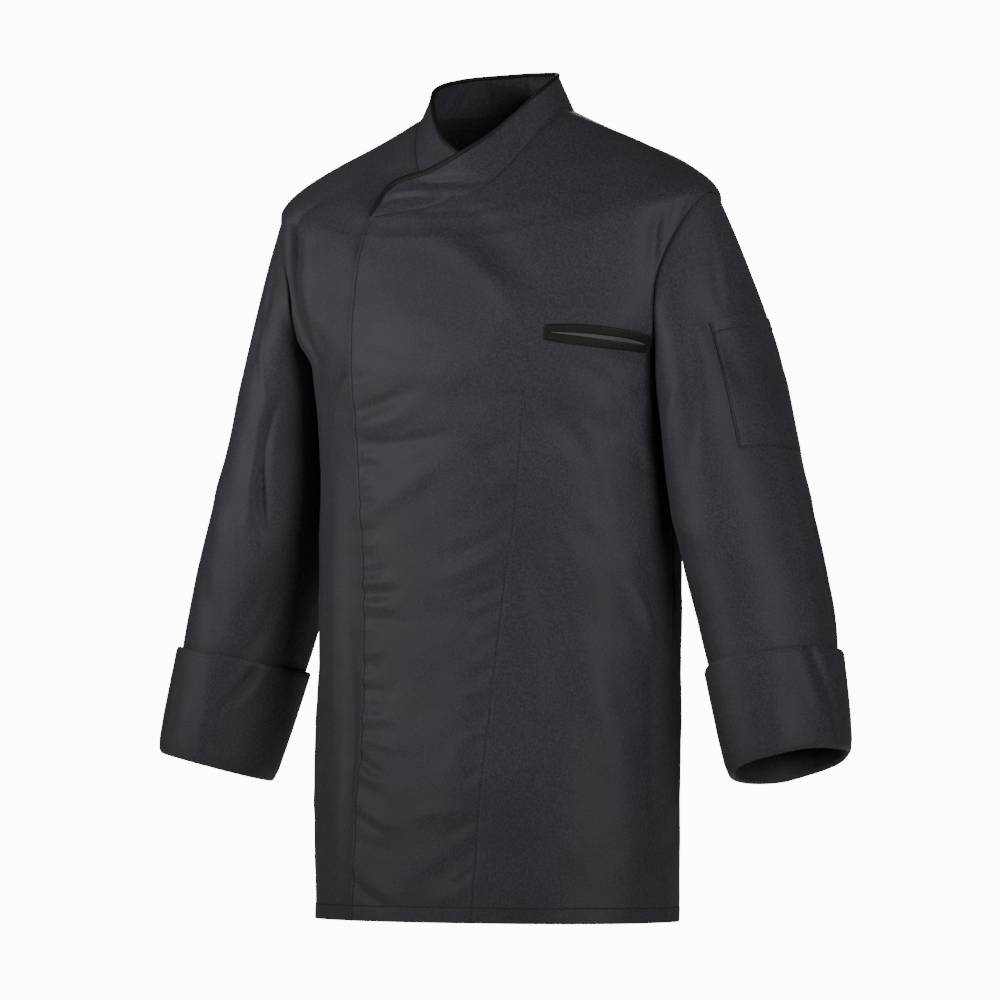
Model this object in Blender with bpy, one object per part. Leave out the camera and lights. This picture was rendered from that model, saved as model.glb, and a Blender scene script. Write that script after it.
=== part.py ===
"""Chef jacket: a double-breasted, long-sleeved jacket in its worn shape, hollow, with no wearer.

Metres, +Z up. The front faces -Y and the wearer's left is +X. The origin is midway between the
two points where the shoulder seams meet the collar. Tables and dimensions are in millimetres.

Every panel is cut from one smooth surface. torso_point(angle, path) is the body: the angle runs
round the trunk from the centre front (0), the wearer's left side seam is at 90, and the path runs
up from the hem through the side seam and the armhole, then along the shoulder seam to the collar.
sleeve_point(turn, path) is a sleeve: the turn runs round it from the top (0) over the front (90).
"""

import math
from collections import namedtuple

import bmesh
import bpy
from mathutils import Vector

MM = 0.001

# Cloth
TWILL = 1.8
SEAM_GAP = 0.3
COLLAR_GAP = 0.9
SLEEVE_GAP = 0.45
LAP = 3.0
UNDER_TUCK = 2.5
COLLAR_WALL = 2.2
BINDING_PROUD = 0.6

# Body
HEM_PATH = 0.0
HEM_Z = -790.0
UNDERARM_PATH = 540.0
UNDERARM_Z = -250.0
SHOULDER_TIP_PATH = 705.0
NECK_PATH = 887.0
ARMHOLE_DIP = 28.0
COLLAR_END_PATH = 753.0
UNDER_LAP_SCALE = 0.88

# Sleeve and cuff
RING_START = 0.30
SLEEVE_END = 0.985
CUFF_WALL = 2.0

# How far the sleeve stays clear of the trunk, and how softly it is pressed flat there: at the
# underarm, for each millimetre below it, and at most.
Grow = namedtuple("Grow", "start slope most")
SLEEVE_CLEARANCE = Grow(0.6, 0.15, 7.0)
PRESS_SOFTNESS = Grow(0.2, 0.04, 3.0)

# Each level of the trunk is a closed ring; z is stated at the sides, centre front and centre back.
# The chest width shapes the middle of the front and back, the half width the sides.
Level = namedtuple(
    "Level", "at z_side z_front z_back half_width chest_width front_depth back_depth centre_y"
)
LEVELS = (
    Level(0, -790, -790, -790, 191, 191, 124, 118, -3),
    Level(118, -672, -672, -672, 192, 192, 122, 114, -2),
    Level(215, -575, -575, -575, 192, 192, 119, 110, 2),
    Level(340, -450, -450, -450, 193, 193, 117, 107, 3),
    Level(450, -340, -340, -340, 191, 191, 121, 109, 3),
    Level(540, -250, -250, -250, 197, 197, 127, 113, 1),
    Level(575, -215, -219, -217, 217, 204, 124, 115, 0),
    Level(610, -180, -190, -186, 230, 208, 119, 116, 0),
    Level(660, -132, -156, -146, 238, 214, 110, 115, -1),
    Level(705, -86, -129, -105, 240, 216, 102, 112, -2),
    Level(718, -75, -124, -93, 234, 215, 100.5, 110, -1),
    Level(735, -63, -119, -79, 219, 209, 98.8, 107, 0),
    Level(775, -46, -111, -56, 188, 188, 96.6, 101, 1),
    Level(815, -31, -105, -36, 153, 153, 93.2, 94, 1),
    Level(855, -13, -98, -11, 109, 109, 85.6, 86, -3),
    Level(887, 1, -91, 8, 77, 77, 77, 80, -8),
)
CHEST_TO = 24.0
SIDE_FROM = 60.0
TRUNK_SQUARENESS = 2.15
RIDGE_ROUNDING = 0.12

# The sleeve's rings below the armhole, square to its own axis.
Ring = namedtuple("Ring", "at x y z across deep")
RINGS = (
    Ring(0.30, 239, 21, -281, 57, 84),
    Ring(0.45, 254, 18, -360, 63, 80),
    Ring(0.60, 273, 14, -430, 65, 76),
    Ring(0.74, 293, 10, -506, 63, 71),
    Ring(0.82, 303, 6, -548, 60, 67),
    Ring(1.00, 325, -5, -642, 55, 60),
)
CAP_FULLNESS = 9.0

# The cuff's section: down the outside, round the lip and back up inside the sleeve. The shares
# say which way its thickness lies.
Roll = namedtuple("Roll", "at out out_share down_share")
CUFF_ROLL = (
    Roll(0.822, 4.8, 1.0, 0.0),
    Roll(0.870, 5.2, 1.0, 0.0),
    Roll(0.925, 5.2, 1.0, 0.0),
    Roll(0.975, 4.8, 1.0, 0.0),
    Roll(0.994, 3.6, 0.7, 0.7),
    Roll(1.000, 0.6, 0.0, 1.0),
    Roll(0.994, -2.6, -0.7, 0.7),
    Roll(0.975, -3.8, -1.0, 0.0),
    Roll(0.940, -4.0, -1.0, 0.0),
)

# How far each cuff is drawn up its sleeve, in millimetres: its top edge all round, and the wrist on
# its outer side alone.
Draw = namedtuple("Draw", "top wrist")
CUFF_DRAW = {"left": Draw(8.5, 9.0), "right": Draw(0.0, 0.0)}
CUFF_FROM = 0.83
CUFF_TO = 0.95
WRIST_FROM = 0.84

# How finely the surfaces are divided. The armhole's steps match the steps round half a sleeve.
Rows = namedtuple("Rows", "below armhole shoulder")
PANEL_ROWS = Rows(11, 12, 6)
FRONT_COLUMNS = 20
BACK_COLUMNS = 24
LAP_STEPS = 12
FRONT_NECK_STEPS = 10
BACK_NECK_STEPS = 6
COLLAR_ROWS = 3
SLEEVE_SIDES = 24
SLEEVE_PATHS = (
    0.0, 0.03, 0.07, 0.12, 0.18, 0.24, 0.30, 0.36, 0.42, 0.48, 0.54, 0.60, 0.66, 0.72, 0.78,
    0.84, 0.92, SLEEVE_END,
)
WELT_ROWS = 2
WELT_COLUMNS = 12
ANGLE_STEP = 0.5
PATH_STEP = 1.0
TURN_STEP = 2.0
SLEEVE_STEP = 0.01

# The over front's free edge: how far past the centre front it laps, level by level.
Edge = namedtuple("Edge", "at lap")
FRONT_EDGE = (
    Edge(0, 99),
    Edge(90, 96),
    Edge(200, 90),
    Edge(340, 93),
    Edge(450, 98),
    Edge(540, 101),
    Edge(640, 101),
    Edge(720, 97),
    Edge(753, 93),
)

# The collar band's top edge, by the turn round the neck: 180 is the centre back, 0 the centre
# front, and below 0 the over end, which laps onto the wearer's right chest.
COLLAR_END_TURN = -24.0
UNDER_END_TURN = -4.0
Brim = namedtuple("Brim", "at x y z binding")
BRIM = (
    Brim(-24.0, -92.5, -88, -99, 3.0),
    Brim(-23.0, -91, -86.0, -93.5, 5.0),
    Brim(-21.5, -87.5, -82, -85, 6.5),
    Brim(-19.5, -82, -76, -74, 6.5),
    Brim(-17.0, -73, -73, -66, 6.5),
    Brim(-13.0, -56.5, -73, -61, 6.5),
    Brim(-8.5, -38, -74, -57.5, 6.2),
    Brim(-4.0, -18, -75, -50, 5.6),
    Brim(0.0, 0, -76, -42.5, 5.0),
    Brim(12.0, 15, -73, -34, 4.6),
    Brim(25.0, 30, -67, -23.5, 4.4),
    Brim(44.0, 46, -54, -6, 4.0),
    Brim(60.0, 56, -40, 9, 3.6),
    Brim(75.0, 62.5, -27, 20, 3.3),
    Brim(90.0, 65, -13, 29, 3.0),
    Brim(105.0, 62.5, 4, 35.5, 3.0),
    Brim(135.0, 45.5, 35, 43, 3.0),
    Brim(180.0, 0, 61, 47, 3.0),
)

# Folds: soft ridges (height above 0) and troughs (below 0) along straight lines on the flat cloth,
# from one place to another. A body place is an angle and a z, a sleeve place a turn and a path.
Fold = namedtuple("Fold", "from_turn from_level to_turn to_level width height")
BODY_FOLDS = (
    Fold(-11, -104, 23, -192, 16, 3.0),
    Fold(6, -105, 27, -182, 13, -4.0),
    Fold(56, -108, 28, -168, 16, 2.5),
    Fold(58, -110, 59, -165, 8, -3.0),
    Fold(35, -298, 47, -340, 12, -3.5),
    Fold(30, -400, 33, -490, 16, -5.0),
    Fold(33, -490, 40, -580, 15, -4.0),
    Fold(43, -515, 54, -590, 20, 5.0),
    Fold(54, -580, 64, -650, 18, 3.5),
    Fold(70, -480, 80, -550, 14, 2.5),
    Fold(-40, -262, -52, -305, 10, -4.0),
    Fold(-40, -380, -40, -574, 14, 4.0),
    Fold(-33, -568, -32, -690, 10, -3.5),
    Fold(-72, -28, -47, -63, 7, -2.5),
    Fold(-59, -95, -50, -150, 9, -4.0),
    Fold(-27, -742, -14, -774, 8, -2.0),
    Fold(-70, -330, -62, -470, 16, -4.0),
    Fold(-16, -270, 14, -290, 14, -2.0),
    Fold(-26, -480, 6, -500, 16, -2.0),
    Fold(236, -120, 200, -210, 16, 3.0),
    Fold(124, -120, 158, -220, 15, -3.5),
    Fold(214, -240, 184, -330, 20, 4.0),
    Fold(146, -260, 172, -350, 18, -4.0),
    Fold(232, -410, 200, -520, 22, -5.0),
    Fold(136, -430, 158, -590, 22, 5.0),
    Fold(196, -560, 186, -770, 24, -4.0),
    Fold(160, -620, 164, -770, 20, 3.0),
)

SLEEVE_FOLDS = {
    "left": (
        Fold(60, 0.10, 30, 0.34, 12, -3.5),
        Fold(110, 0.42, 60, 0.56, 14, -4.0),
        Fold(150, 0.50, 80, 0.62, 14, 4.0),
        Fold(100, 0.64, 50, 0.74, 12, -3.5),
        Fold(10, 0.40, 14, 0.78, 10, 3.0),
        Fold(250, 0.40, 310, 0.60, 16, -4.0),
        Fold(230, 0.58, 290, 0.72, 14, 4.0),
    ),
    "right": (
        Fold(60, 0.06, 66, 0.24, 10, -4.0),
        Fold(88, 0.38, 120, 0.52, 14, -5.0),
        Fold(120, 0.52, 112, 0.66, 14, 4.0),
        Fold(40, 0.46, 80, 0.60, 16, 3.5),
        Fold(60, 0.66, 100, 0.76, 12, -3.5),
        Fold(240, 0.40, 300, 0.58, 16, -4.0),
        Fold(220, 0.60, 280, 0.74, 14, 4.0),
    ),
}

# The widths that turn degrees round the body and the sleeves into millimetres of cloth.
TRUNK_RADIUS = 165.0
SLEEVE_RADIUS = 68.0
SLEEVE_LENGTH = 540.0

# The breast pocket on the over front: each strip's lower and upper edge along its length, as angles
# and paths.
Strip = namedtuple("Strip", "at low_angle low high_angle high")
LOWER_WELT = (
    Strip(0.00, 32.4, 561.5, 32.1, 569.2),
    Strip(0.25, 38.6, 557.6, 40.0, 565.7),
    Strip(0.50, 48.8, 554.1, 48.3, 562.5),
    Strip(0.75, 59.2, 551.7, 59.2, 559.1),
    Strip(1.00, 70.0, 549.0, 69.5, 556.1),
)
POCKET_BAG = (
    Strip(0.00, 35.0, 568.6, 35.0, 569.0),
    Strip(0.25, 40.0, 566.1, 40.0, 568.1),
    Strip(0.50, 48.0, 563.0, 48.0, 566.0),
    Strip(0.75, 58.5, 559.7, 58.5, 562.9),
    Strip(1.00, 66.5, 557.4, 66.5, 558.2),
)
UPPER_WELT = (
    Strip(0.00, 32.0, 569.7, 31.9, 577.4),
    Strip(0.25, 39.4, 568.5, 38.2, 577.6),
    Strip(0.50, 47.7, 566.5, 46.4, 575.5),
    Strip(0.75, 58.2, 563.4, 57.0, 571.2),
    Strip(1.00, 69.5, 556.8, 67.5, 565.5),
)
WELT_LIFT = 0.5
WELT_WALL = 1.6
BAG_WALL = 0.8

# The patch pocket on the left sleeve.
POCKET_TURN_FROM = 50.0
POCKET_TURN_TO = -20.0
POCKET_PATH_TOP = 0.181
POCKET_PATH_BOTTOM = 0.423
POCKET_ROWS = 4
POCKET_LIFT = 0.9
POCKET_WALL = 1.4

Cloth = namedtuple("Cloth", "color roughness")
TWILL_CLOTH = Cloth((0.050, 0.051, 0.056, 1.0), 0.85)
SATIN_CLOTH = Cloth((0.010, 0.009, 0.008, 1.0), 0.45)


def clear_scene():
    for item in list(bpy.data.objects):
        bpy.data.objects.remove(item, do_unlink=True)


def column(rows, name, at):
    """Read one column of a table at any place, as a smooth curve that never overshoots its rows."""
    if at <= rows[0].at:
        return getattr(rows[0], name)
    if at >= rows[-1].at:
        return getattr(rows[-1], name)
    index = max(i for i, row in enumerate(rows) if row.at <= at)
    here, there = rows[index], rows[index + 1]
    step = there.at - here.at
    part = (at - here.at) / step
    start = slope_at(rows, name, index) * step
    end = slope_at(rows, name, index + 1) * step
    return hermite(getattr(here, name), getattr(there, name), start, end, part)


def slope_at(rows, name, index):
    """Give a table column's slope at one row: the harmonic mean of the slopes on its two sides."""
    before, after = max(index - 1, 0), min(index + 1, len(rows) - 1)
    left = slope_between(rows, name, before, index)
    right = slope_between(rows, name, index, after)
    if before == index:
        return right
    if after == index:
        return left
    if left * right <= 0:
        return 0.0
    return 2 * left * right / (left + right)


def slope_between(rows, name, first, second):
    if first == second:
        return 0.0
    rise = getattr(rows[second], name) - getattr(rows[first], name)
    return rise / (rows[second].at - rows[first].at)


def hermite(start, end, start_tangent, end_tangent, part):
    square, cube = part * part, part * part * part
    return (
        start * (2 * cube - 3 * square + 1)
        + start_tangent * (cube - 2 * square + part)
        + end * (3 * square - 2 * cube)
        + end_tangent * (cube - square)
    )


def blend(low, high, value):
    """Rise smoothly from 0 at `low` to 1 at `high`."""
    part = min(max((value - low) / (high - low), 0.0), 1.0)
    return part * part * (3 - 2 * part)


def mix(start, end, part):
    return start + (end - start) * part


def fold_height(fold, turn, level, radius, length):
    """Give one fold's height at a place on the flat cloth: it fades in and out along its line."""
    degree = math.radians(radius)
    start = Vector((fold.from_turn * degree, fold.from_level * length))
    along = Vector((fold.to_turn * degree, fold.to_level * length)) - start
    reach = Vector((turn * degree, level * length)) - start
    part = reach.dot(along) / along.length_squared
    aside = abs(reach.x * along.y - reach.y * along.x) / along.length
    run = blend(-0.3, 0.3, part) * blend(1.3, 0.7, part)
    return fold.height * run * math.exp(-((aside / fold.width) ** 2))


def body_folds(angle, z):
    return sum(fold_height(fold, angle, z, TRUNK_RADIUS, 1.0) for fold in BODY_FOLDS)


def trunk_width(sine, level):
    """Pass from the chest width to the half width on the way round to the side."""
    low, high = math.sin(math.radians(CHEST_TO)), math.sin(math.radians(SIDE_FROM))
    return mix(level["chest_width"], level["half_width"], blend(low, high, sine))


def trunk_base(angle, path):
    """Give the trunk's smooth surface, with no fold in it."""
    level = {name: column(LEVELS, name, path) for name in Level._fields[1:]}
    sine, cosine = math.sin(math.radians(angle)), math.cos(math.radians(angle))
    power = 2 / TRUNK_SQUARENESS
    depth = level["front_depth"] if cosine > 0 else level["back_depth"]
    middle_z = level["z_front"] if cosine > 0 else level["z_back"]
    ridge = math.hypot(cosine, RIDGE_ROUNDING) - RIDGE_ROUNDING
    ridge /= math.hypot(1, RIDGE_ROUNDING) - RIDGE_ROUNDING
    x = trunk_width(abs(sine), level) * math.copysign(abs(sine) ** power, sine)
    y = level["centre_y"] - depth * math.copysign(abs(cosine) ** power, cosine)
    z = mix(level["z_side"], middle_z, 0.6 * ridge + 0.4 * cosine * cosine)
    return Vector((x, y, z))


def torso_point(angle, path, out=0.0):
    """Give the folded body's surface, moved `out` along its own normal."""
    here = trunk_base(angle, path)
    around = trunk_base(angle + ANGLE_STEP, path) - trunk_base(angle - ANGLE_STEP, path)
    above = min(path + PATH_STEP, NECK_PATH)
    up = trunk_base(angle, above) - trunk_base(angle, above - 2 * PATH_STEP)
    normal = around.cross(up).normalized()
    calm = blend(NECK_PATH, NECK_PATH - 60, path)
    return here + normal * (out + calm * body_folds(angle, here.z))


def over_lift(angle):
    """The over front lies outside the under front and comes down to the trunk at its side seam."""
    return LAP * blend(80, 52, angle)


def under_lift(angle):
    """The under front draws in a little where the over front hides it."""
    return -UNDER_TUCK * blend(-22, -8, angle)


def armhole_angle(path):
    """Give how far round the front panel reaches at a level: less where the armhole cuts into it."""
    middle = (UNDERARM_PATH + SHOULDER_TIP_PATH) / 2
    reach = (SHOULDER_TIP_PATH - UNDERARM_PATH) / 2
    part = (path - middle) / reach
    if abs(part) >= 1:
        return 90.0
    return 90.0 - ARMHOLE_DIP * math.sqrt(1 - part * part)


def armhole_paths(count):
    """Space the levels so that panel and sleeve share the same places round the armhole."""
    middle = (UNDERARM_PATH + SHOULDER_TIP_PATH) / 2
    reach = (SHOULDER_TIP_PATH - UNDERARM_PATH) / 2
    return [middle - reach * math.cos(math.pi * step / count) for step in range(count + 1)]


def angle_at_width(x, path):
    width = column(LEVELS, "chest_width", path)
    return math.degrees(math.asin(min(abs(x) / width, 1.0) ** (TRUNK_SQUARENESS / 2)))


def lap_angle(path, lap_scale=1.0):
    """Give the front edge's angle past the centre: straight up the lap, then along the neckline."""
    lap = column(FRONT_EDGE, "lap", min(path, COLLAR_END_PATH)) * lap_scale
    angle = angle_at_width(lap, path)
    if path > COLLAR_END_PATH:
        end = angle_at_width(lap, COLLAR_END_PATH)
        angle = end * (NECK_PATH - path) / (NECK_PATH - COLLAR_END_PATH)
    return angle


def panel_paths(rows):
    """List the levels of a body panel from the hem to the neck."""
    paths = [mix(HEM_PATH, UNDERARM_PATH, step / rows.below) for step in range(rows.below)]
    paths += armhole_paths(rows.armhole)
    paths.append((SHOULDER_TIP_PATH + COLLAR_END_PATH) / 2)
    for step in range(rows.shoulder + 1):
        paths.append(mix(COLLAR_END_PATH, NECK_PATH, step / rows.shoulder))
    return paths


def front_grid(side, lap_scale, wall):
    """Lay out one front, `side` 1 for the wearer's left, which is the over front, or -1."""
    grid = []
    for path in panel_paths(PANEL_ROWS):
        inner = -lap_angle(path, lap_scale)
        outer = armhole_angle(path)
        angles = [side * mix(inner, outer, step / FRONT_COLUMNS) for step in range(FRONT_COLUMNS + 1)]
        angles.sort()
        lift = over_lift if side > 0 else under_lift
        grid.append([torso_point(angle, path, lift(angle) - wall) for angle in angles])
    return inset(grid, SEAM_GAP / 2)


def back_grid(wall):
    grid = []
    for path in panel_paths(PANEL_ROWS):
        outer = armhole_angle(path)
        start, end = 180 - outer, 180 + outer
        angles = [mix(start, end, step / BACK_COLUMNS) for step in range(BACK_COLUMNS + 1)]
        grid.append([torso_point(angle, path, -wall) for angle in angles])
    return inset(grid, SEAM_GAP / 2)


def ring_centre(path):
    return Vector([column(RINGS, name, path) for name in ("x", "y", "z")])


def ring_point(turn, path):
    """Give a point of the hanging sleeve's ring, square to the sleeve's axis."""
    axis = (ring_centre(path + SLEEVE_STEP) - ring_centre(path - SLEEVE_STEP)).normalized()
    forward = Vector((0, -1, 0))
    forward = (forward - axis * forward.dot(axis)).normalized()
    outward = axis.cross(forward).normalized()
    if outward.x < 0:
        outward = -outward
    across = column(RINGS, "across", path)
    deep = column(RINGS, "deep", path)
    radians = math.radians(turn)
    return ring_centre(path) + outward * across * math.cos(radians) + forward * deep * math.sin(radians)


def armhole_point(turn):
    middle = (UNDERARM_PATH + SHOULDER_TIP_PATH) / 2
    reach = (SHOULDER_TIP_PATH - UNDERARM_PATH) / 2
    path = middle + reach * math.cos(math.radians(turn))
    dip = ARMHOLE_DIP * abs(math.sin(math.radians(turn)))
    angle = 90.0 - dip if turn % 360 <= 180 else 90.0 + dip
    return angle, path


def armhole_seam(turn):
    """Give the sleeve's first ring: the armhole's line, moved across it into the hole."""
    here = torso_point(*armhole_point(turn))
    along = torso_point(*armhole_point(turn + 1)) - torso_point(*armhole_point(turn - 1))
    outward = torso_point(*armhole_point(turn), 1.0) - here
    return here + outward.cross(along).normalized() * SLEEVE_GAP


def sleeve_base(turn, path):
    """Give the left sleeve's smooth surface: the armhole's line flows into the hanging rings."""
    if path >= RING_START:
        point = ring_point(turn, path)
    else:
        start = armhole_seam(turn)
        end = ring_point(turn, RING_START)
        top = max(math.cos(math.radians(turn)), 0.0)
        leave = (end - start) + Vector((1.2, 0, 0.5)) * CAP_FULLNESS * (0.5 + 1.5 * top)
        arrive = (ring_point(turn, RING_START + SLEEVE_STEP) - end) * RING_START / SLEEVE_STEP
        point = hermite(start, end, leave, arrive * 0.8, path / RING_START)
    return clear_of_trunk(point)


def grown(grow, depth):
    return min(grow.start + grow.slope * depth, grow.most)


def clear_of_trunk(point):
    """Press the sleeve's inner side flat where it would otherwise touch the body."""
    depth = UNDERARM_Z - point.z
    if depth <= 0:
        return point
    path = point.z - HEM_Z
    centre_y = column(LEVELS, "centre_y", path)
    name = "front_depth" if point.y < centre_y else "back_depth"
    reach = min(abs(point.y - centre_y) / column(LEVELS, name, path), 1.0)
    width = (1 - reach ** TRUNK_SQUARENESS) ** (1 / TRUNK_SQUARENESS)
    nearest = column(LEVELS, "half_width", path) * width + grown(SLEEVE_CLEARANCE, depth)
    softness = grown(PRESS_SOFTNESS, depth)
    spare = (point.x - nearest) / softness
    pushed = nearest + softness * (max(spare, 0.0) + math.log1p(math.exp(-abs(spare))))
    return Vector((pushed, point.y, point.z))


def sleeve_folds(side, turn, path):
    """Read the folds at a place round the sleeve, counted the short way from each fold."""
    height = 0.0
    for fold in SLEEVE_FOLDS[side]:
        near = (turn - fold.from_turn + 180) % 360 - 180 + fold.from_turn
        height += fold_height(fold, near, path, SLEEVE_RADIUS, SLEEVE_LENGTH)
    return height * blend(0.0, 0.08, path) * blend(1.0, 0.84, path)


def wrist_draw(side, turn, path):
    """Give how far the sleeve is drawn up near its wrist, as a share of its length."""
    outer = (1 + math.cos(math.radians(turn))) / 2
    return CUFF_DRAW[side].wrist / SLEEVE_LENGTH * outer * blend(WRIST_FROM, 1.0, path)


def sleeve_point(side, turn, path, out=0.0):
    path -= wrist_draw(side, turn, path)
    here = sleeve_base(turn, path)
    around = sleeve_base(turn + TURN_STEP, path) - sleeve_base(turn - TURN_STEP, path)
    low = max(path - SLEEVE_STEP, 0.0)
    down = sleeve_base(turn, low + 2 * SLEEVE_STEP) - sleeve_base(turn, low)
    normal = around.cross(down).normalized()
    return here + normal * (out + sleeve_folds(side, turn, path))


def seam_point(turn, over):
    """Give a point of the neckline, where the collar is sewn on."""
    if turn >= 0:
        angle, path = turn, NECK_PATH
    else:
        path = mix(NECK_PATH, COLLAR_END_PATH, turn / COLLAR_END_TURN)
        angle = -lap_angle(path)
    if over:
        return torso_point(angle, path, over_lift(angle))
    return torso_point(-angle, path, under_lift(-angle))


def collar_point(turn, over, rise):
    """Give a point of the collar band: `rise` is 0 on the seam and 1 on the top edge."""
    seam = seam_point(turn, over)
    brim = Vector([column(BRIM, name, turn) for name in ("x", "y", "z")])
    away = Vector((brim.x, brim.y, 0)).normalized()
    front = blend(110, 30, turn)
    if over:
        brim += away * 1.6 * front
    else:
        brim = Vector((-brim.x, brim.y, brim.z)) - Vector((-away.x, away.y, 0)) * 6.0 * front
    return mix(seam, brim, rise)


def collar_turns():
    """List the collar's columns from the over end, round the back, to the under end."""
    lap = [COLLAR_END_TURN * (1 - step / LAP_STEPS) for step in range(LAP_STEPS)]
    front = [90 * step / FRONT_NECK_STEPS for step in range(FRONT_NECK_STEPS)]
    back = [90 + 90 * step / BACK_NECK_STEPS for step in range(BACK_NECK_STEPS + 1)]
    turns = [(turn, True) for turn in lap + front + back]
    turns += [(turn, False) for turn in reversed([UNDER_END_TURN] + front + back[:-1])]
    return turns


def collar_normal(turn, over, rise):
    low, high = max(turn - 1, COLLAR_END_TURN), min(turn + 1, 180)
    around = collar_point(high, over, rise) - collar_point(low, over, rise)
    up = collar_point(turn, over, 1) - collar_point(turn, over, 0)
    normal = around.cross(up).normalized()
    return normal if over else -normal


def band_reach(turn, band_height):
    """Give the heights above the seam between which the collar's twill runs."""
    return COLLAR_GAP, band_height - column(BRIM, "binding", turn) - SEAM_GAP


def binding_reach(turn, band_height):
    """Give the heights above the seam between which the binding runs."""
    return band_height - column(BRIM, "binding", turn), band_height


def collar_grid(reach, out):
    """Lay out one part of the band, between the heights that `reach` gives, moved `out`."""
    grid = [[] for _ in range(COLLAR_ROWS + 1)]
    for turn, over in collar_turns():
        band_height = (collar_point(turn, over, 1) - collar_point(turn, over, 0)).length
        low, high = reach(turn, band_height)
        for step, row in enumerate(grid):
            rise = mix(low, high, step / COLLAR_ROWS) / band_height
            row.append(collar_point(turn, over, rise) + collar_normal(turn, over, rise) * out)
    return grid


def add_collar():
    """Build the stand collar and the satin binding that finishes its top edge."""
    faces = [collar_grid(band_reach, out) for out in (0.0, -COLLAR_WALL)]
    add_wall("collar", faces[0], faces[1], TWILL_CLOTH)
    faces = [collar_grid(binding_reach, out) for out in (BINDING_PROUD, -COLLAR_WALL - BINDING_PROUD)]
    add_wall("collar_piping", faces[0], faces[1], SATIN_CLOTH)


def add_strip(name, rows, wall):
    """Lay one strip of the breast pocket on the over front, its points moved out from the panel's."""
    faces = []
    for out in (WELT_LIFT + wall, WELT_LIFT):
        grid = [[] for _ in range(WELT_ROWS + 1)]
        for place in range(WELT_COLUMNS + 1):
            edge = {key: column(rows, key, place / WELT_COLUMNS) for key in Strip._fields[1:]}
            for step, row in enumerate(grid):
                angle = mix(edge["low_angle"], edge["high_angle"], step / WELT_ROWS)
                path = mix(edge["low"], edge["high"], step / WELT_ROWS)
                row.append(torso_point(angle, path, over_lift(angle) + out))
        faces.append(grid)
    add_wall(name, faces[0], faces[1], SATIN_CLOTH)


def add_sleeve_pocket():
    """Lay the patch pocket on the left sleeve, on the sleeve's own columns."""
    column_step = 360 / SLEEVE_SIDES
    columns = [column_step * count for count in range(-SLEEVE_SIDES, SLEEVE_SIDES)]
    turns = [turn for turn in columns if POCKET_TURN_TO < turn < POCKET_TURN_FROM]
    turns = [POCKET_TURN_TO] + turns + [POCKET_TURN_FROM]
    faces = []
    for out in (POCKET_LIFT + POCKET_WALL, POCKET_LIFT):
        grid = []
        for step in range(POCKET_ROWS + 1):
            path = mix(POCKET_PATH_TOP, POCKET_PATH_BOTTOM, step / POCKET_ROWS)
            grid.append([sleeve_point("left", turn, path, out) for turn in turns])
        faces.append(grid)
    add_wall("sleeve_pocket", faces[0], faces[1], TWILL_CLOTH)


def grid_normals(grid, closed):
    """Work out the outward normal at each point of a grid from its neighbours."""
    count = len(grid[0])
    normals = []
    for j, row in enumerate(grid):
        below, above = grid[max(j - 1, 0)], grid[min(j + 1, len(grid) - 1)]
        line = []
        for i in range(count):
            left = row[(i - 1) % count] if closed else row[max(i - 1, 0)]
            right = row[(i + 1) % count] if closed else row[min(i + 1, count - 1)]
            line.append((right - left).cross(above[i] - below[i]).normalized())
        normals.append(line)
    return normals


def inset(grid, gap, closed=False):
    """Draw a grid's free edges in by half a seam gap."""
    rows = [list(row) for row in grid]
    rows[0] = [a + (b - a).normalized() * gap for a, b in zip(rows[0], rows[1])]
    rows[-1] = [a + (b - a).normalized() * gap for a, b in zip(rows[-1], rows[-2])]
    if not closed:
        for row in rows:
            row[0] = row[0] + (row[1] - row[0]).normalized() * gap
            row[-1] = row[-1] + (row[-2] - row[-1]).normalized() * gap
    return rows


def moved_in(grid, wall, closed=False, first_normals=None):
    """Give the inner face of a wall: the outer grid moved in along its normals."""
    normals = grid_normals(grid, closed)
    if first_normals:
        normals[0] = first_normals
    return [[p - n * wall for p, n in zip(row, line)] for row, line in zip(grid, normals)]


def quad_strip(mesh, first, second, closed):
    count = len(first)
    for i in range(count if closed else count - 1):
        corners = [first[i], first[(i + 1) % count], second[(i + 1) % count], second[i]]
        mesh.faces.new(corners)


def add_wall(name, outer, inner, cloth, closed=False, mirrored=False):
    """Build one closed solid between an outer and an inner grid."""
    side = -1 if mirrored else 1
    mesh = bmesh.new()
    faces = []
    for grid in (outer, inner):
        faces.append([[mesh.verts.new((p.x * side * MM, p.y * MM, p.z * MM)) for p in row] for row in grid])
    for rows in faces:
        for first, second in zip(rows, rows[1:]):
            quad_strip(mesh, first, second, closed)
    quad_strip(mesh, faces[0][0], faces[1][0], closed)
    quad_strip(mesh, faces[0][-1], faces[1][-1], closed)
    if not closed:
        for end in (0, -1):
            quad_strip(mesh, [row[end] for row in faces[0]], [row[end] for row in faces[1]], False)
    bmesh.ops.recalc_face_normals(mesh, faces=mesh.faces)
    data = bpy.data.meshes.new(name)
    mesh.to_mesh(data)
    mesh.free()
    item = bpy.data.objects.new(name, data)
    bpy.context.scene.collection.objects.link(item)
    data.materials.append(cloth_material(name, cloth))
    data.shade_smooth()
    data.set_sharp_from_angle(angle=math.radians(50))
    return item


def cloth_material(name, cloth):
    material = bpy.data.materials.new(name + "_cloth")
    material.use_nodes = True
    shader = material.node_tree.nodes["Principled BSDF"]
    shader.inputs["Base Color"].default_value = cloth.color
    shader.inputs["Roughness"].default_value = cloth.roughness
    shader.inputs["Metallic"].default_value = 0.0
    return material


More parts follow.
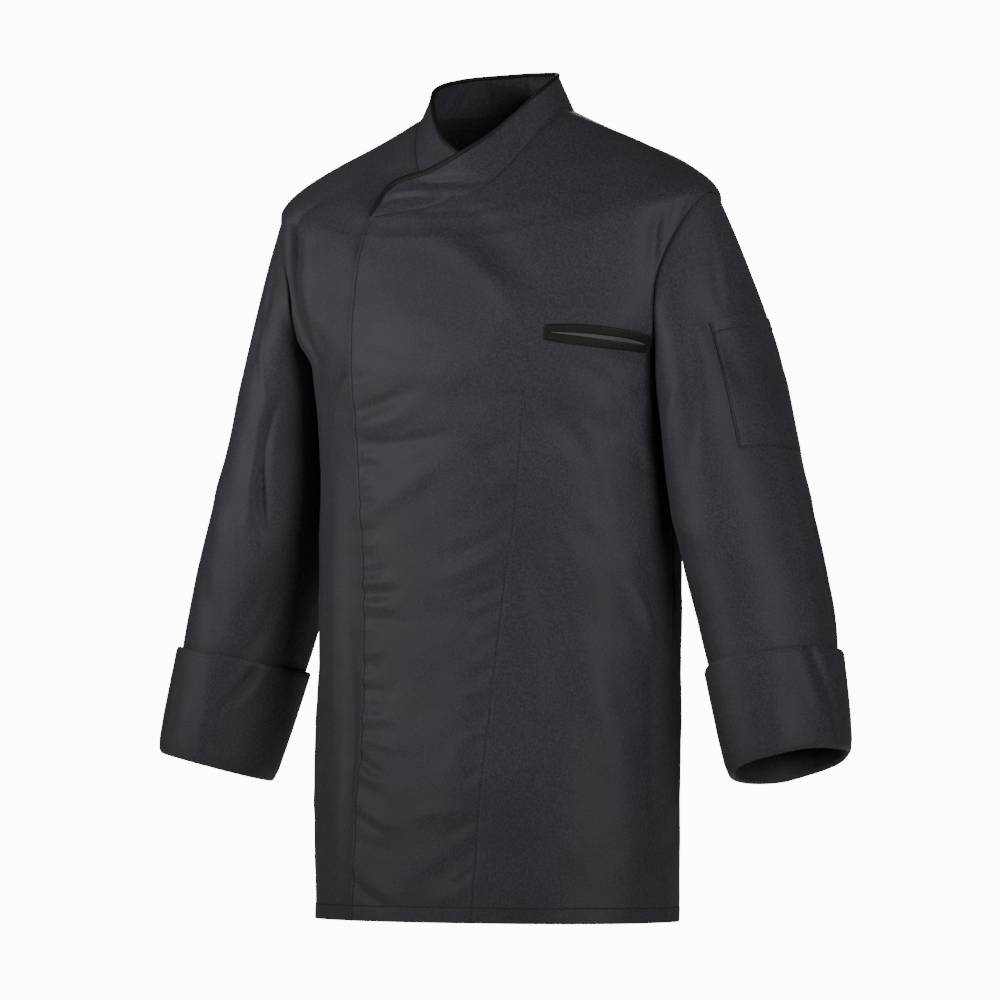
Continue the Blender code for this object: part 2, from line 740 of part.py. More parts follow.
def add_body():
    faces = [front_grid(1, 1.0, wall) for wall in (0.0, TWILL)]
    add_wall("left_front", faces[0], faces[1], TWILL_CLOTH)
    faces = [front_grid(-1, UNDER_LAP_SCALE, wall) for wall in (0.0, TWILL)]
    add_wall("right_front", faces[0], faces[1], TWILL_CLOTH)
    faces = [back_grid(wall) for wall in (0.0, TWILL)]
    add_wall("back", faces[0], faces[1], TWILL_CLOTH)


def add_sleeve(side):
    turns = [360 * step / SLEEVE_SIDES for step in range(SLEEVE_SIDES)]
    grid = [[sleeve_point(side, turn, path) for turn in turns] for path in SLEEVE_PATHS]
    own = grid_normals(grid, True)[0]
    seam = []
    for turn, normal in zip(turns, own):
        angle, level = armhole_point(turn)
        body = torso_point(angle, level, 1.0) - torso_point(angle, level)
        share = blend(-0.2, 0.4, math.cos(math.radians(turn)))
        seam.append((normal * (1 - share) + body * share).normalized())
    inner = moved_in(grid, TWILL, closed=True, first_normals=seam)
    add_wall(side + "_sleeve", grid, inner, TWILL_CLOTH, closed=True, mirrored=side == "right")


def add_cuff(side):
    """Build the turned-back cuff: an outer tube whose lip rolls in round the sleeve's end."""
    turns = [360 * step / SLEEVE_SIDES for step in range(SLEEVE_SIDES)]
    faces = []
    for shift in (CUFF_WALL / 2, -CUFF_WALL / 2):
        grid = []
        for row in CUFF_ROLL:
            out = row.out + shift * row.out_share
            path = row.at + shift * row.down_share / SLEEVE_LENGTH
            if row.out > 0:
                path -= CUFF_DRAW[side].top / SLEEVE_LENGTH * blend(CUFF_TO, CUFF_FROM, row.at)
            grid.append([sleeve_point(side, turn, path, out) for turn in turns])
        faces.append(grid)
    add_wall(side + "_cuff", faces[0], faces[1], TWILL_CLOTH, closed=True, mirrored=side == "right")


def main():
    clear_scene()
    add_body()
    add_collar()
    for side in ("left", "right"):
        add_sleeve(side)
        add_cuff(side)
    add_strip("breast_pocket_lower_welt", LOWER_WELT, WELT_WALL)
    add_strip("breast_pocket_bag", POCKET_BAG, BAG_WALL)
    add_strip("breast_pocket_upper_welt", UPPER_WELT, WELT_WALL)
    add_sleeve_pocket()


main()
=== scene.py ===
"""Chef jacket: its cloth, folds, sewing and studio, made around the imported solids.

The front faces -Y and the wearer's left is +X. Tables are in millimetres, objects in metres. Every
panel is laid out on one of two smooth surfaces, as in the solids: torso_point(angle, path) is the
body, whose angle runs round from the centre front and whose path runs up from the hem and along the
shoulder, and sleeve_point(side, turn, path) is a sleeve, whose turn runs round from its top.
"""

import math
from collections import namedtuple

import bpy
import numpy as np
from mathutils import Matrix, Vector


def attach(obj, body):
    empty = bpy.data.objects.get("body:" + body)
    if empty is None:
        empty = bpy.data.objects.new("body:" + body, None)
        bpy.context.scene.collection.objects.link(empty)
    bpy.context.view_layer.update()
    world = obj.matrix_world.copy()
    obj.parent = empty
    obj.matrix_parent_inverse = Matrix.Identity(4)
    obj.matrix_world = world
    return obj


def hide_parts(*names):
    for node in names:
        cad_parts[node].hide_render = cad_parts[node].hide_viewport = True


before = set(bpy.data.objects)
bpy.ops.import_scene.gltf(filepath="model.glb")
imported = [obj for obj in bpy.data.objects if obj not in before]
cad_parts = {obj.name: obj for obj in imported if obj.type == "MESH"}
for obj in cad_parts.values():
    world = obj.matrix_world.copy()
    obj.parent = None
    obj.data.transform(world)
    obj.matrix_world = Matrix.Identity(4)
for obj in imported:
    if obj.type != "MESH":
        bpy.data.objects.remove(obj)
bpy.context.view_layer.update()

bl_info = {
    "name": "Chef Jacket",
    "version": (1, 0, 0),
    "blender": (4, 5, 0),
    "location": "3D View > Sidebar > Jacket",
    "description": "Makes the cloth, sewing and studio of a double-breasted chef jacket",
    "category": "Object",
}

MM = 0.001
SIDES = ("left", "right")

# The body's levels, from the hem to the neck. Each is a closed ring; z is stated at the sides, the
# centre front and the centre back.
Level = namedtuple(
    "Level", "at z_side z_front z_back half_width chest_width front_depth back_depth centre_y"
)
LEVELS = (
    Level(0, -790, -790, -790, 191, 191, 124, 118, -3),
    Level(118, -672, -672, -672, 192, 192, 122, 114, -2),
    Level(215, -575, -575, -575, 192, 192, 119, 110, 2),
    Level(340, -450, -450, -450, 193, 193, 117, 107, 3),
    Level(450, -340, -340, -340, 191, 191, 121, 109, 3),
    Level(540, -250, -250, -250, 197, 197, 127, 113, 1),
    Level(575, -215, -219, -217, 217, 204, 124, 115, 0),
    Level(610, -180, -190, -186, 230, 208, 119, 116, 0),
    Level(660, -132, -156, -146, 238, 214, 110, 115, -1),
    Level(705, -86, -129, -105, 240, 216, 102, 112, -2),
    Level(718, -75, -124, -93, 234, 215, 100.5, 110, -1),
    Level(735, -63, -119, -79, 219, 209, 98.8, 107, 0),
    Level(775, -46, -111, -56, 188, 188, 96.6, 101, 1),
    Level(815, -31, -105, -36, 153, 153, 93.2, 94, 1),
    Level(855, -13, -98, -11, 109, 109, 85.6, 86, -3),
    Level(887, 1, -91, 8, 77, 77, 77, 80, -8),
)

# The ring's section: the chest's width runs into the side's between two angles, and the shoulder's
# ridge is rounded.
CHEST_TO = 24.0
SIDE_FROM = 60.0
TRUNK_SQUARENESS = 2.15
RIDGE_ROUNDING = 0.12
RIDGE_SHARE = 0.6

# Places up the body, and how many degrees the armhole dips into the panels.
HEM_Z = -790.0
UNDERARM_PATH = 540.0
UNDERARM_Z = -250.0
SHOULDER_TIP_PATH = 705.0
NECK_PATH = 887.0
COLLAR_END_PATH = 753.0
ARMHOLE_DIP = 28.0
ARMHOLE_MIDDLE = (UNDERARM_PATH + SHOULDER_TIP_PATH) / 2
ARMHOLE_REACH = (SHOULDER_TIP_PATH - UNDERARM_PATH) / 2

# How the fronts lie on one another: how far the over front stands off and the angles between which
# it comes down to the trunk, the same for the under front's tuck, and how far the under front laps.
# The gap is left at every seam.
LAP = 3.0
LAP_ENDS = (80.0, 52.0)
UNDER_TUCK = 2.5
TUCK_ENDS = (-22.0, -8.0)
UNDER_LAP_SCALE = 0.88
SEAM_GAP = 0.3

# How far apart two places are taken to find which way a surface faces.
ANGLE_STEP = 0.5
PATH_STEP = 1.0
TURN_STEP = 2.0
SLEEVE_STEP = 0.01
AXIS_STEP = 0.02

# The over front's free edge: how far past the centre front it laps, level by level.
Edge = namedtuple("Edge", "at lap")
FRONT_EDGE = (
    Edge(0, 99),
    Edge(90, 96),
    Edge(200, 90),
    Edge(340, 93),
    Edge(450, 98),
    Edge(540, 101),
    Edge(640, 101),
    Edge(720, 97),
    Edge(753, 93),
)

# The seam that joins the over front's lap panel to its side panel, from the hem to the pocket.
Line = namedtuple("Line", "at angle")
PANEL_SEAM = (
    Line(0, 12.0),
    Line(114, 14.0),
    Line(228, 17.0),
    Line(324, 20.0),
    Line(408, 24.0),
    Line(522, 28.0),
    Line(560, 30.0),
    Line(753, 33.0),
    Line(887, 36.0),
)
PANEL_SEAM_TOP = 514.0

# The sleeve's rings below the armhole, square to its own axis.
Ring = namedtuple("Ring", "at x y z across deep")
RINGS = (
    Ring(0.30, 239, 21, -281, 57, 84),
    Ring(0.45, 254, 18, -360, 63, 80),
    Ring(0.60, 273, 14, -430, 65, 76),
    Ring(0.74, 293, 10, -506, 63, 71),
    Ring(0.82, 303, 6, -548, 60, 67),
    Ring(1.00, 325, -5, -642, 55, 60),
)
RING_START = 0.30
SLEEVE_GAP = 0.45

# The sleeve's cap: its fullness at the armhole, the way it leaves, how fast it comes down, and the
# cosines of the turns between which the sleeve's edge comes to face as the body does.
CAP_FULLNESS = 9.0
CAP_WAY = (1.2, 0.0, 0.5)
CAP_SIDE_SHARE = 0.5
CAP_TOP_SHARE = 1.5
CAP_ARRIVAL = 0.8
CAP_FACING = (-0.2, 0.4)

# How far the sleeve stays clear of the trunk, and how softly it is pressed flat there: at the
# underarm, for each millimetre below it, and at most.
Grow = namedtuple("Grow", "start slope most")
SLEEVE_CLEARANCE = Grow(0.6, 0.15, 7.0)
PRESS_SOFTNESS = Grow(0.2, 0.04, 3.0)

# What turns angles, turns and shares of the sleeve into millimetres of cloth. Close to a seam of the
# body a millimetre is taken as 0.3 degrees.
TRUNK_RADIUS = 165.0
SLEEVE_RADIUS = 68.0
SLEEVE_LENGTH = 540.0
ANGLE_TO_MM = math.radians(1) * TRUNK_RADIUS
TURN_TO_MM = math.radians(1) * SLEEVE_RADIUS
MM_TO_ANGLE = 0.3

# The cuff's section: down the outside, round the lip and back up inside the sleeve. The shares say
# which way its thickness lies.
CUFF_TOP = 0.824
Roll = namedtuple("Roll", "at out out_share down_share")
CUFF_ROLL = (
    Roll(0.8205, 4.2, 0.4, -0.9),
    Roll(CUFF_TOP, 4.8, 1.0, 0.0),
    Roll(0.870, 5.2, 1.0, 0.0),
    Roll(0.925, 5.2, 1.0, 0.0),
    Roll(0.975, 4.2, 1.0, 0.0),
    Roll(0.994, 2.5, 0.7, 0.7),
    Roll(1.000, 0.4, 0.0, 1.0),
    Roll(0.994, -1.6, -0.7, 0.7),
    Roll(0.975, -3.2, -1.0, 0.0),
    Roll(0.940, -3.6, -1.0, 0.0),
)

# How far each cuff is drawn up its sleeve, in millimetres: its top edge all round, the tilt of that
# edge up towards its inner side, and the wrist on its outer side alone.
Draw = namedtuple("Draw", "top tilt wrist")
CUFF_DRAW = {"left": Draw(8.5, 0.0, 9.0), "right": Draw(9.0, 9.0, 0.0)}
CUFF_FROM = 0.83
CUFF_TO = 0.95
WRIST_FROM = 0.84

# How the cuff's top edge wanders up and down its sleeve: how many waves go round it, where each
# starts and how high it is.
Wander = namedtuple("Wander", "waves start height")
CUFF_WANDER = {
    "left": (Wander(2, 40, 0.0016), Wander(5, 70, 0.0009)),
    "right": (Wander(2, 130, 0.0016), Wander(5, 70, 0.0009)),
}

# The collar band's top edge, by the turn round the neck: 180 is the centre back, 0 the centre
# front, and below 0 the over end, which laps onto the wearer's right chest. The radius turns turns
# into millimetres of band, and on the over end the scale does.
COLLAR_END_TURN = -24.0
UNDER_END_TURN = -4.0
COLLAR_RADIUS = 76.0
COLLAR_END_SCALE = 5.2
Brim = namedtuple("Brim", "at x y z binding")
BRIM = (
    Brim(-24.0, -92.5, -88, -99, 3.0),
    Brim(-23.0, -91, -86.0, -93.5, 5.0),
    Brim(-21.5, -87.5, -82, -85, 6.5),
    Brim(-19.5, -82, -76, -74, 6.5),
    Brim(-17.0, -73, -73, -66, 6.5),
    Brim(-13.0, -56.5, -73, -61, 6.5),
    Brim(-8.5, -38, -74, -57.5, 6.2),
    Brim(-4.0, -18, -75, -50, 5.6),
    Brim(0.0, 0, -76, -42.5, 5.0),
    Brim(12.0, 15, -73, -34, 4.6),
    Brim(25.0, 30, -67, -23.5, 4.4),
    Brim(44.0, 46, -54, -6, 4.0),
    Brim(60.0, 56, -40, 9, 3.6),
    Brim(75.0, 62.5, -27, 20, 3.3),
    Brim(90.0, 65, -13, 29, 3.0),
    Brim(105.0, 62.5, 4, 35.5, 3.0),
    Brim(135.0, 45.5, 35, 43, 3.0),
    Brim(180.0, 0, 61, 47, 3.0),
)

# Between two turns round the neck the band's ends part, the over end outwards, the under end inwards.
PARTING = (110.0, 30.0)
OVER_END_OUT = 1.6
UNDER_END_IN = 6.0

# How far the band's twill stops below the binding's fold, how far its inner face runs on past the
# seam, and how far out its outer face lies.
COLLAR_TOP_GAP = 1.6
COLLAR_INNER_DROP = -0.6
COLLAR_OUT = -0.2

# The binding's section, folded over the collar's edge: how far down as a share of its width or in
# millimetres, and how far out from the collar's face.
Bind = namedtuple("Bind", "share down out")
BINDING_ROLL = (
    Bind(1.0, 0.0, 0.30),
    Bind(0.8, 0.0, 0.75),
    Bind(0.5, 0.0, 0.95),
    Bind(0.2, 0.5, 0.85),
    Bind(0.0, 0.5, 0.20),
    Bind(0.0, 0.0, -1.10),
    Bind(0.0, 0.5, -2.40),
    Bind(0.2, 0.5, -3.05),
    Bind(0.5, 0.0, -3.15),
    Bind(0.8, 0.0, -2.95),
    Bind(1.0, 0.0, -2.50),
)
BINDING_WALL = 0.7

# The binding's small ripple along the collar: its height, and its turn for each millimetre.
BINDING_RIPPLE = 0.12
RIPPLE_TURN = 0.9

# Folds: soft ridges (height above 0) and troughs (below 0) along lines on the cloth, from one place
# to another. A place on the body is an angle and a z, on a sleeve a turn and a share of its length.
# The bow bends a line sideways at its middle, and the skew makes one flank steeper. The large folds
# follow the solids', softer, and the body's last one rounds the chest. Each line runs in and out over
# a share of its length.
Fold = namedtuple("Fold", "a z to_a to_z width height bow skew", defaults=(0.0, 0.0))
RUN_IN = 0.3
LARGE_SHARE = 0.65
LARGE_FOLDS = (
    Fold(-11, -104, 23, -192, 16, 3.0),
    Fold(6, -105, 27, -182, 13, -4.0),
    Fold(56, -108, 28, -168, 16, 2.5),
    Fold(58, -110, 59, -165, 8, -3.0),
    Fold(35, -298, 47, -340, 12, -3.5),
    Fold(30, -400, 33, -490, 16, -5.0),
    Fold(33, -490, 40, -580, 15, -4.0),
    Fold(43, -515, 54, -590, 20, 5.0),
    Fold(54, -580, 64, -650, 18, 3.5),
    Fold(70, -480, 80, -550, 14, 2.5),
    Fold(-40, -262, -52, -305, 10, -4.0),
    Fold(-40, -380, -40, -574, 14, 4.0),
    Fold(-33, -568, -32, -690, 10, -3.5),
    Fold(-72, -28, -47, -63, 7, -2.5),
    Fold(-59, -95, -50, -150, 9, -4.0),
    Fold(-27, -742, -14, -774, 8, -2.0),
    Fold(-70, -330, -62, -470, 16, -4.0),
    Fold(-16, -270, 14, -290, 14, -2.0),
    Fold(-26, -480, 6, -500, 16, -2.0),
    Fold(236, -120, 200, -210, 16, 3.0),
    Fold(124, -120, 158, -220, 15, -3.5),
    Fold(214, -240, 184, -330, 20, 4.0),
    Fold(146, -260, 172, -350, 18, -4.0),
    Fold(232, -410, 200, -520, 22, -5.0),
    Fold(136, -430, 158, -590, 22, 5.0),
    Fold(196, -560, 186, -770, 24, -4.0),
    Fold(160, -620, 164, -770, 20, 3.0),
    Fold(-52, -118, 22, -124, 22, -3.4),
)
OVER_FRONT_FOLDS = (
    Fold(9, -128, 20, -168, 7, -1.4, 4, 0.3),
    Fold(-3, -122, 22, -200, 8, 1.3, -6),
    Fold(-20, -180, 6, -220, 12, 0.9, 6),
    Fold(-24, -236, -6, -250, 9, -1.2, 2),
    Fold(-28, -262, -19, -259, 4, -1.1),
    Fold(-29, -296, -7, -277, 7, -2.7, 2, 0.2),
    Fold(-28, -307, -10, -302, 8, 2.4, 2),
    Fold(-26, -325, 0, -321, 6, -2.8, 3, 0.2),
    Fold(-28, -350, -19, -348, 4, -2.0),
    Fold(-27, -398, 3, -343, 10, 1.9, 4),
    Fold(-27, -366, -22, -364, 3.4, 1.7),
    Fold(-28, -385, -22, -383, 3.2, -1.7),
    Fold(-28, -412, -22, -409, 3.2, -1.7),
    Fold(-27, -424, -20, -422, 3.6, 1.7),
    Fold(-27, -438, -22, -436, 3.2, -1.7),
    Fold(-27, -452, -18, -449, 3.8, -2.0),
    Fold(-27, -462, -16, -460, 4.2, 2.1),
    Fold(-27, -472, -13, -470, 4.2, -2.6, 1),
    Fold(-26, -484, -13, -484, 4.8, 2.4),
    Fold(-26, -496, -9, -502, 5.5, -2.1),
    Fold(-26, -514, -21, -513, 3.4, -1.4),
    Fold(-25, -530, -17, -528, 5, 1.7),
    Fold(-27, -556, -22, -556, 3.4, 1.5),
    Fold(-27, -541, -19, -543, 4.2, -1.7),
    Fold(-27, -564, -15, -568, 5, -2.2, 1),
    Fold(-26, -580, -17, -584, 4.2, -1.5),
    Fold(-27, -592, -14, -595, 5.5, 2.2),
    Fold(-27, -604, -19, -610, 3.8, -1.7),
    Fold(-25, -610, -8, -624, 6.5, 2.0, 1),
    Fold(-28, -628, -17, -648, 4.8, -2.4, 2),
    Fold(-27, -641, -17, -656, 4.2, 2.0, 1),
    Fold(-26, -660, -17, -668, 5, -1.7),
    Fold(-28, -673, -11, -698, 7.5, 2.4, 2),
    Fold(-28, -681, -16, -703, 3.6, -2.1, 2),
    Fold(-27, -712, -13, -722, 6.5, -1.7),
    Fold(-28, -738, -9, -772, 8.5, 2.3, 3),
    Fold(-28, -751, -15, -773, 4.8, -2.7, 2),
    Fold(18, -285, 26, -283, 4.2, -1.4),
    Fold(21, -292, 27, -290, 4.4, 1.3),
    Fold(13, -337, 23, -328, 3.8, -1.7),
    Fold(13, -333, 19, -353, 3.8, -1.4),
    Fold(17, -367, 23, -366, 4.4, 1.4),
    Fold(15, -388, 20, -386, 4, -1.2),
    Fold(20, -413, 3, -436, 6.5, -2.2, -2, 0.2),
    Fold(20, -429, 1, -458, 7.5, 2.0, -2),
    Fold(19, -467, 8, -477, 4.8, -1.9, -1),
    Fold(19, -478, 12, -486, 4, 1.3),
    Fold(18, -489, 9, -499, 4.8, -1.7, -1),
    Fold(17, -508, 11, -514, 4, 1.3),
    Fold(17, -526, 11, -540, 5, 1.7, -1),
    Fold(17, -545, 10, -553, 4.4, -1.3),
    Fold(8, -571, 17, -560, 5.5, 2.3, 1),
    Fold(8, -598, 15, -590, 5, -1.8, 1),
    Fold(8, -613, 16, -604, 5, 1.9),
    Fold(8, -617, 4, -646, 8, 1.3),
    Fold(8, -653, 14, -644, 4.8, -1.8),
    Fold(-4, -688, 13, -681, 6.5, 2.3, -1),
    Fold(4, -703, 14, -693, 4.8, -2.2, -1, 0.2),
    Fold(8, -711, 13, -703, 4.2, 1.4),
    Fold(14, -711, -1, -751, 9, -2.0, -3),
    Fold(13, -747, 1, -769, 5.5, 1.7, -2),
    Fold(13, -738, 7, -752, 3.8, -1.4),
    Fold(-8, -610, 3, -640, 15, -1.1, 3),
    Fold(-14, -556, 2, -560, 16, -1.2, 2),
    Fold(40, -254, 64, -296, 9, -1.4, -8, 0.2),
    Fold(60, -250, 73, -256, 6, -1.8, 1),
    Fold(46, -276, 62, -318, 12, 0.9, -5),
    Fold(36, -296, 53, -404, 11, -1.5, -12, 0.1),
    Fold(44, -330, 58, -398, 12, 0.9, -6),
    Fold(48, -308, 79, -366, 11, -1.6, -6, 0.1),
    Fold(37, -389, 68, -500, 12, -1.6, -6),
    Fold(23, -421, 51, -563, 12, -1.1, 8),
    Fold(34, -408, 44, -446, 8, 1.2),
    Fold(33, -498, 44, -543, 9, 1.0),
    Fold(66, -470, 77, -514, 6, 1.8, -2),
    Fold(61, -108, 61, -156, 5, -2.2, 3, 0.3),
    Fold(67, -97, 64, -124, 3, -0.8),
    Fold(71, -98, 68, -118, 3, 0.6),
    Fold(76, -540, 80, -700, 9, -1.6, 4),
    Fold(50, -640, 60, -760, 18, -1.2, -6),
    Fold(28, -660, 34, -780, 20, 1.2, 5),
)
UNDER_FRONT_FOLDS = (
    Fold(-34, -258, -46, -300, 4.5, -3.0, 3, 0.4),
    Fold(-31, -258, -42, -296, 4, 1.4, 3),
    Fold(-49, -262, -56, -330, 5, 1.6, 4),
    Fold(-43, -222, -56, -350, 9, -1.6, 8),
    Fold(-47, -96, -21, -137, 12, -2.0, -8),
    Fold(-50, -130, -40, -214, 12, 2.0, 6),
    Fold(-56, -102, -54.5, -240, 8, -13.0, 2, 0.3),
    Fold(-47, -110, -46, -240, 6, 1.4, 2),
    Fold(-74, -24, -54, -58, 3.6, -1.8, 3),
    Fold(-67, -26, -50, -50, 3.0, 1.2, 2),
    Fold(-62, -30, -46, -58, 3.2, -0.9, 2),
    Fold(-44, -400, -43, -600, 8, 1.8, 2),
    Fold(-34, -514, -31, -670, 6, -2.0, -2),
    Fold(-38, -640, -38, -770, 10, 1.2),
    Fold(-56, -380, -58, -520, 10, -1.6, 4),
    Fold(-70, -560, -64, -700, 12, 2.0, -4),
    Fold(-80, -300, -74, -420, 10, 2.0, 4),
)
BACK_FOLDS = (
    Fold(118, -110, 112, -170, 6, -3.6, 4, 0.3),
    Fold(242, -112, 248, -170, 6, -3.4, -4, 0.3),
    Fold(128, -140, 172, -190, 10, 1.8, 8),
    Fold(232, -150, 190, -204, 9, -1.6, -8),
    Fold(100, -262, 128, -330, 7, -2.6, 8, 0.2),
    Fold(104, -300, 140, -388, 8, 2.0, 8),
    Fold(260, -266, 230, -340, 8, -2.4, -8, 0.2),
    Fold(256, -320, 222, -400, 8, 1.8, -8),
    Fold(112, -380, 126, -470, 9, -2.0, 6),
    Fold(250, -430, 236, -520, 10, 2.0, -6),
    Fold(150, -350, 200, -372, 9, -1.6, 6),
    Fold(160, -402, 214, -418, 10, 1.4, -6),
    Fold(120, -520, 128, -650, 11, -2.0, 6),
    Fold(240, -560, 232, -720, 12, -1.8, -6),
    Fold(178, -440, 172, -600, 12, -1.6, 5),
    Fold(206, -600, 210, -760, 10, 1.6, 5),
    Fold(146, -640, 142, -770, 10, -1.6, 5),
    Fold(100, -600, 102, -740, 9, 1.6, 4),
    Fold(150, 0, 168, -40, 10, -1.2, 4),
    Fold(212, 0, 194, -38, 9, 1.0, -4),
)

LARGE_SLEEVE_FOLDS = {
    "left": (
        Fold(60, 0.10, 30, 0.34, 12, -3.5),
        Fold(110, 0.42, 60, 0.56, 14, -2.4),
        Fold(150, 0.50, 80, 0.62, 14, 2.6),
        Fold(100, 0.64, 50, 0.74, 12, -1.0),
        Fold(10, 0.40, 14, 0.78, 10, 3.0),
        Fold(250, 0.40, 310, 0.60, 16, -4.0),
        Fold(230, 0.58, 290, 0.72, 14, 4.0),
    ),
    "right": (
        Fold(60, 0.06, 66, 0.24, 10, -4.0),
        Fold(88, 0.38, 120, 0.52, 14, -5.0),
        Fold(120, 0.52, 112, 0.66, 14, 4.0),
        Fold(40, 0.46, 80, 0.60, 16, 3.5),
        Fold(60, 0.66, 100, 0.76, 12, -3.5),
        Fold(240, 0.40, 300, 0.58, 16, -4.0),
        Fold(220, 0.60, 280, 0.74, 14, 4.0),
    ),
}
SMALL_SLEEVE_FOLDS = {
    "left": (
        Fold(72, 0.20, 104, 0.47, 10, -2.6, -8, 0.3),
        Fold(351, 0.42, 336, 0.80, 5, 1.9, 2),
        Fold(356, 0.42, 342, 0.80, 5, -1.2, 2),
        Fold(6, 0.03, 24, 0.09, 4, -1.2),
        Fold(16, 0.05, 28, 0.15, 5, 1.2, 2),
        Fold(28, 0.08, 36, 0.17, 5, -0.9, 2),
        Fold(84, 0.70, 70, 0.80, 7, -0.7, 4),
        Fold(96, 0.30, 122, 0.40, 7, 1.8, 5),
        Fold(300, 0.22, 262, 0.40, 9, -2.0, 8),
        Fold(240, 0.30, 210, 0.46, 9, 2.2, 8),
        Fold(270, 0.46, 330, 0.56, 7, -1.8, 6),
        Fold(220, 0.50, 268, 0.62, 7, 1.8, 6),
        Fold(200, 0.66, 260, 0.76, 8, -1.8, 6),
    ),
    "right": (
        Fold(108, 0.30, 119, 0.55, 6, -4.8, -13, 0.3),
        Fold(98, 0.30, 109, 0.53, 7, 1.3, -12),
        Fold(96, 0.40, 102, 0.56, 6, 1.8, -3),
        Fold(124, 0.42, 146, 0.58, 8, 0.9, -3),
        Fold(38, 0.05, 98, 0.29, 4, 1.3, 6),
        Fold(30, 0.05, 88, 0.29, 5, -0.8, 6),
        Fold(118, 0.58, 108, 0.70, 9, 1.8, 4),
        Fold(140, 0.64, 122, 0.79, 8, -1.8, 5),
        Fold(80, 0.60, 92, 0.74, 8, -1.0, 4),
        Fold(300, 0.24, 262, 0.42, 9, 2.0, 8),
        Fold(250, 0.28, 214, 0.44, 9, -2.2, 8),
        Fold(272, 0.48, 326, 0.60, 7, 1.8, 6),
        Fold(206, 0.62, 262, 0.74, 8, -1.8, 6),
    ),
}
CUFF_FOLDS = {
    "left": (
        Fold(27.5, 0.80, 16, 0.875, 4.2, -3.2, 2, 0.4),
        Fold(17, 0.86, 7, 0.985, 3.8, -2.6, -1, 0.4),
        Fold(38, 0.81, 26, 0.92, 6, 1.6, 2),
        Fold(87, 0.81, 79, 0.86, 3.2, -1.8),
        Fold(66, 0.88, 60, 0.98, 9, 1.0, 3),
        Fold(190, 0.83, 200, 0.97, 7, -1.6, 4),
        Fold(280, 0.83, 268, 0.97, 8, 1.4, 4),
    ),
    "right": (
        Fold(137, 0.795, 114, 0.885, 4.5, -3.2, 2, 0.4),
        Fold(113, 0.88, 118, 0.97, 4.5, -2.4, -2, 0.4),
        Fold(96, 0.82, 104, 0.98, 8, 1.4, 3),
        Fold(146, 0.80, 128, 0.88, 5, 1.2, 2),
        Fold(62, 0.84, 66, 0.97, 8, -0.9, 3),
        Fold(200, 0.83, 208, 0.97, 7, -1.6, 4),
        Fold(290, 0.83, 282, 0.97, 8, 1.4, 4),
    ),
}

# Creases on the collar band: the turn round the neck and the height above the seam.
OVER_COLLAR_FOLDS = (
    Fold(-21.5, 14, -17, 22, 2.6, -1.2),
    Fold(-18, 21, -10, 18, 3.0, -1.4),
    Fold(-11, 18, -3, 12, 4.6, -0.9),
    Fold(-10, 34, 24, 10, 4.2, -4.0),
    Fold(-14, 24, 8, 6, 5.0, 1.5),
    Fold(-19, 26, -9, 25, 3.0, 1.0),
    Fold(-14, 9, -6, 7, 5.0, 0.8),
    Fold(26, 34, 34, 24, 4.0, 0.8),
    Fold(38, 30, 46, 16, 5.0, -0.7),
    Fold(60, 34, 56, 12, 5.0, 0.8),
    Fold(158, 36, 176, 30, 4.0, 0.8),
    Fold(150, 34, 142, 12, 3.4, -0.9),
)
UNDER_COLLAR_FOLDS = (
    Fold(146, 34, 147, 14, 2.4, 1.4),
    Fold(128, 30, 122, 12, 2.6, 1.2),
    Fold(116, 26, 112, 10, 2.4, -1.0),
    Fold(40, 24, 46, 10, 4.0, 0.8),
)

# The breast pocket on the over front: each strip's lower and upper edge along its length, as angles
# and paths. The bag shows only in the slit between the welts, and runs on under both.
Strip = namedtuple("Strip", "at low_angle low high_angle high")
LOWER_WELT = (
    Strip(0.00, 32.4, 561.5, 32.1, 569.2),
    Strip(0.25, 38.6, 557.6, 40.0, 565.7),
    Strip(0.50, 48.8, 554.1, 48.3, 562.5),
    Strip(0.75, 59.2, 551.7, 59.2, 559.1),
    Strip(1.00, 70.0, 549.0, 69.5, 556.1),
)
POCKET_BAG = (
    Strip(0.00, 34.0, 567.6, 34.0, 570.6),
    Strip(0.25, 40.0, 564.6, 40.0, 569.6),
    Strip(0.50, 48.0, 561.5, 48.0, 567.5),
    Strip(0.75, 58.5, 558.2, 58.5, 564.4),
    Strip(1.00, 67.5, 555.4, 67.5, 559.2),
)
UPPER_WELT = (
    Strip(0.00, 32.0, 569.7, 31.9, 577.4),
    Strip(0.25, 39.4, 568.5, 38.2, 577.6),
    Strip(0.50, 47.7, 566.5, 46.4, 575.5),
    Strip(0.75, 58.2, 563.4, 57.0, 571.2),
    Strip(1.00, 69.5, 556.8, 67.5, 565.5),
)

# How a strip lies on the front: how far it stands off, its wall and the crown along its middle. The
# crown ripples along the strip, and the powers say how flat it is across and how square at its ends.
Lay = namedtuple("Lay", "lift wall crown")
WELT_LAY = Lay(0.5, 1.0, 0.7)
BAG_LAY = Lay(0.3, 0.5, 0.0)
CROWN_RIPPLE = 0.12
CROWN_RIPPLE_TURN = 37
CROWN_POWER = 4
CROWN_END_POWER = 16
CROWN_INNER_SHARE = 0.5

# The round that a hidden press stud raises on the over front, and where its rim runs out.
Bump = namedtuple("Bump", "angle z radius height")
SNAP_BUMP = Bump(-24.5, -338.0, 6.5, 2.2)
BUMP_RIM = (1.0, 0.75)

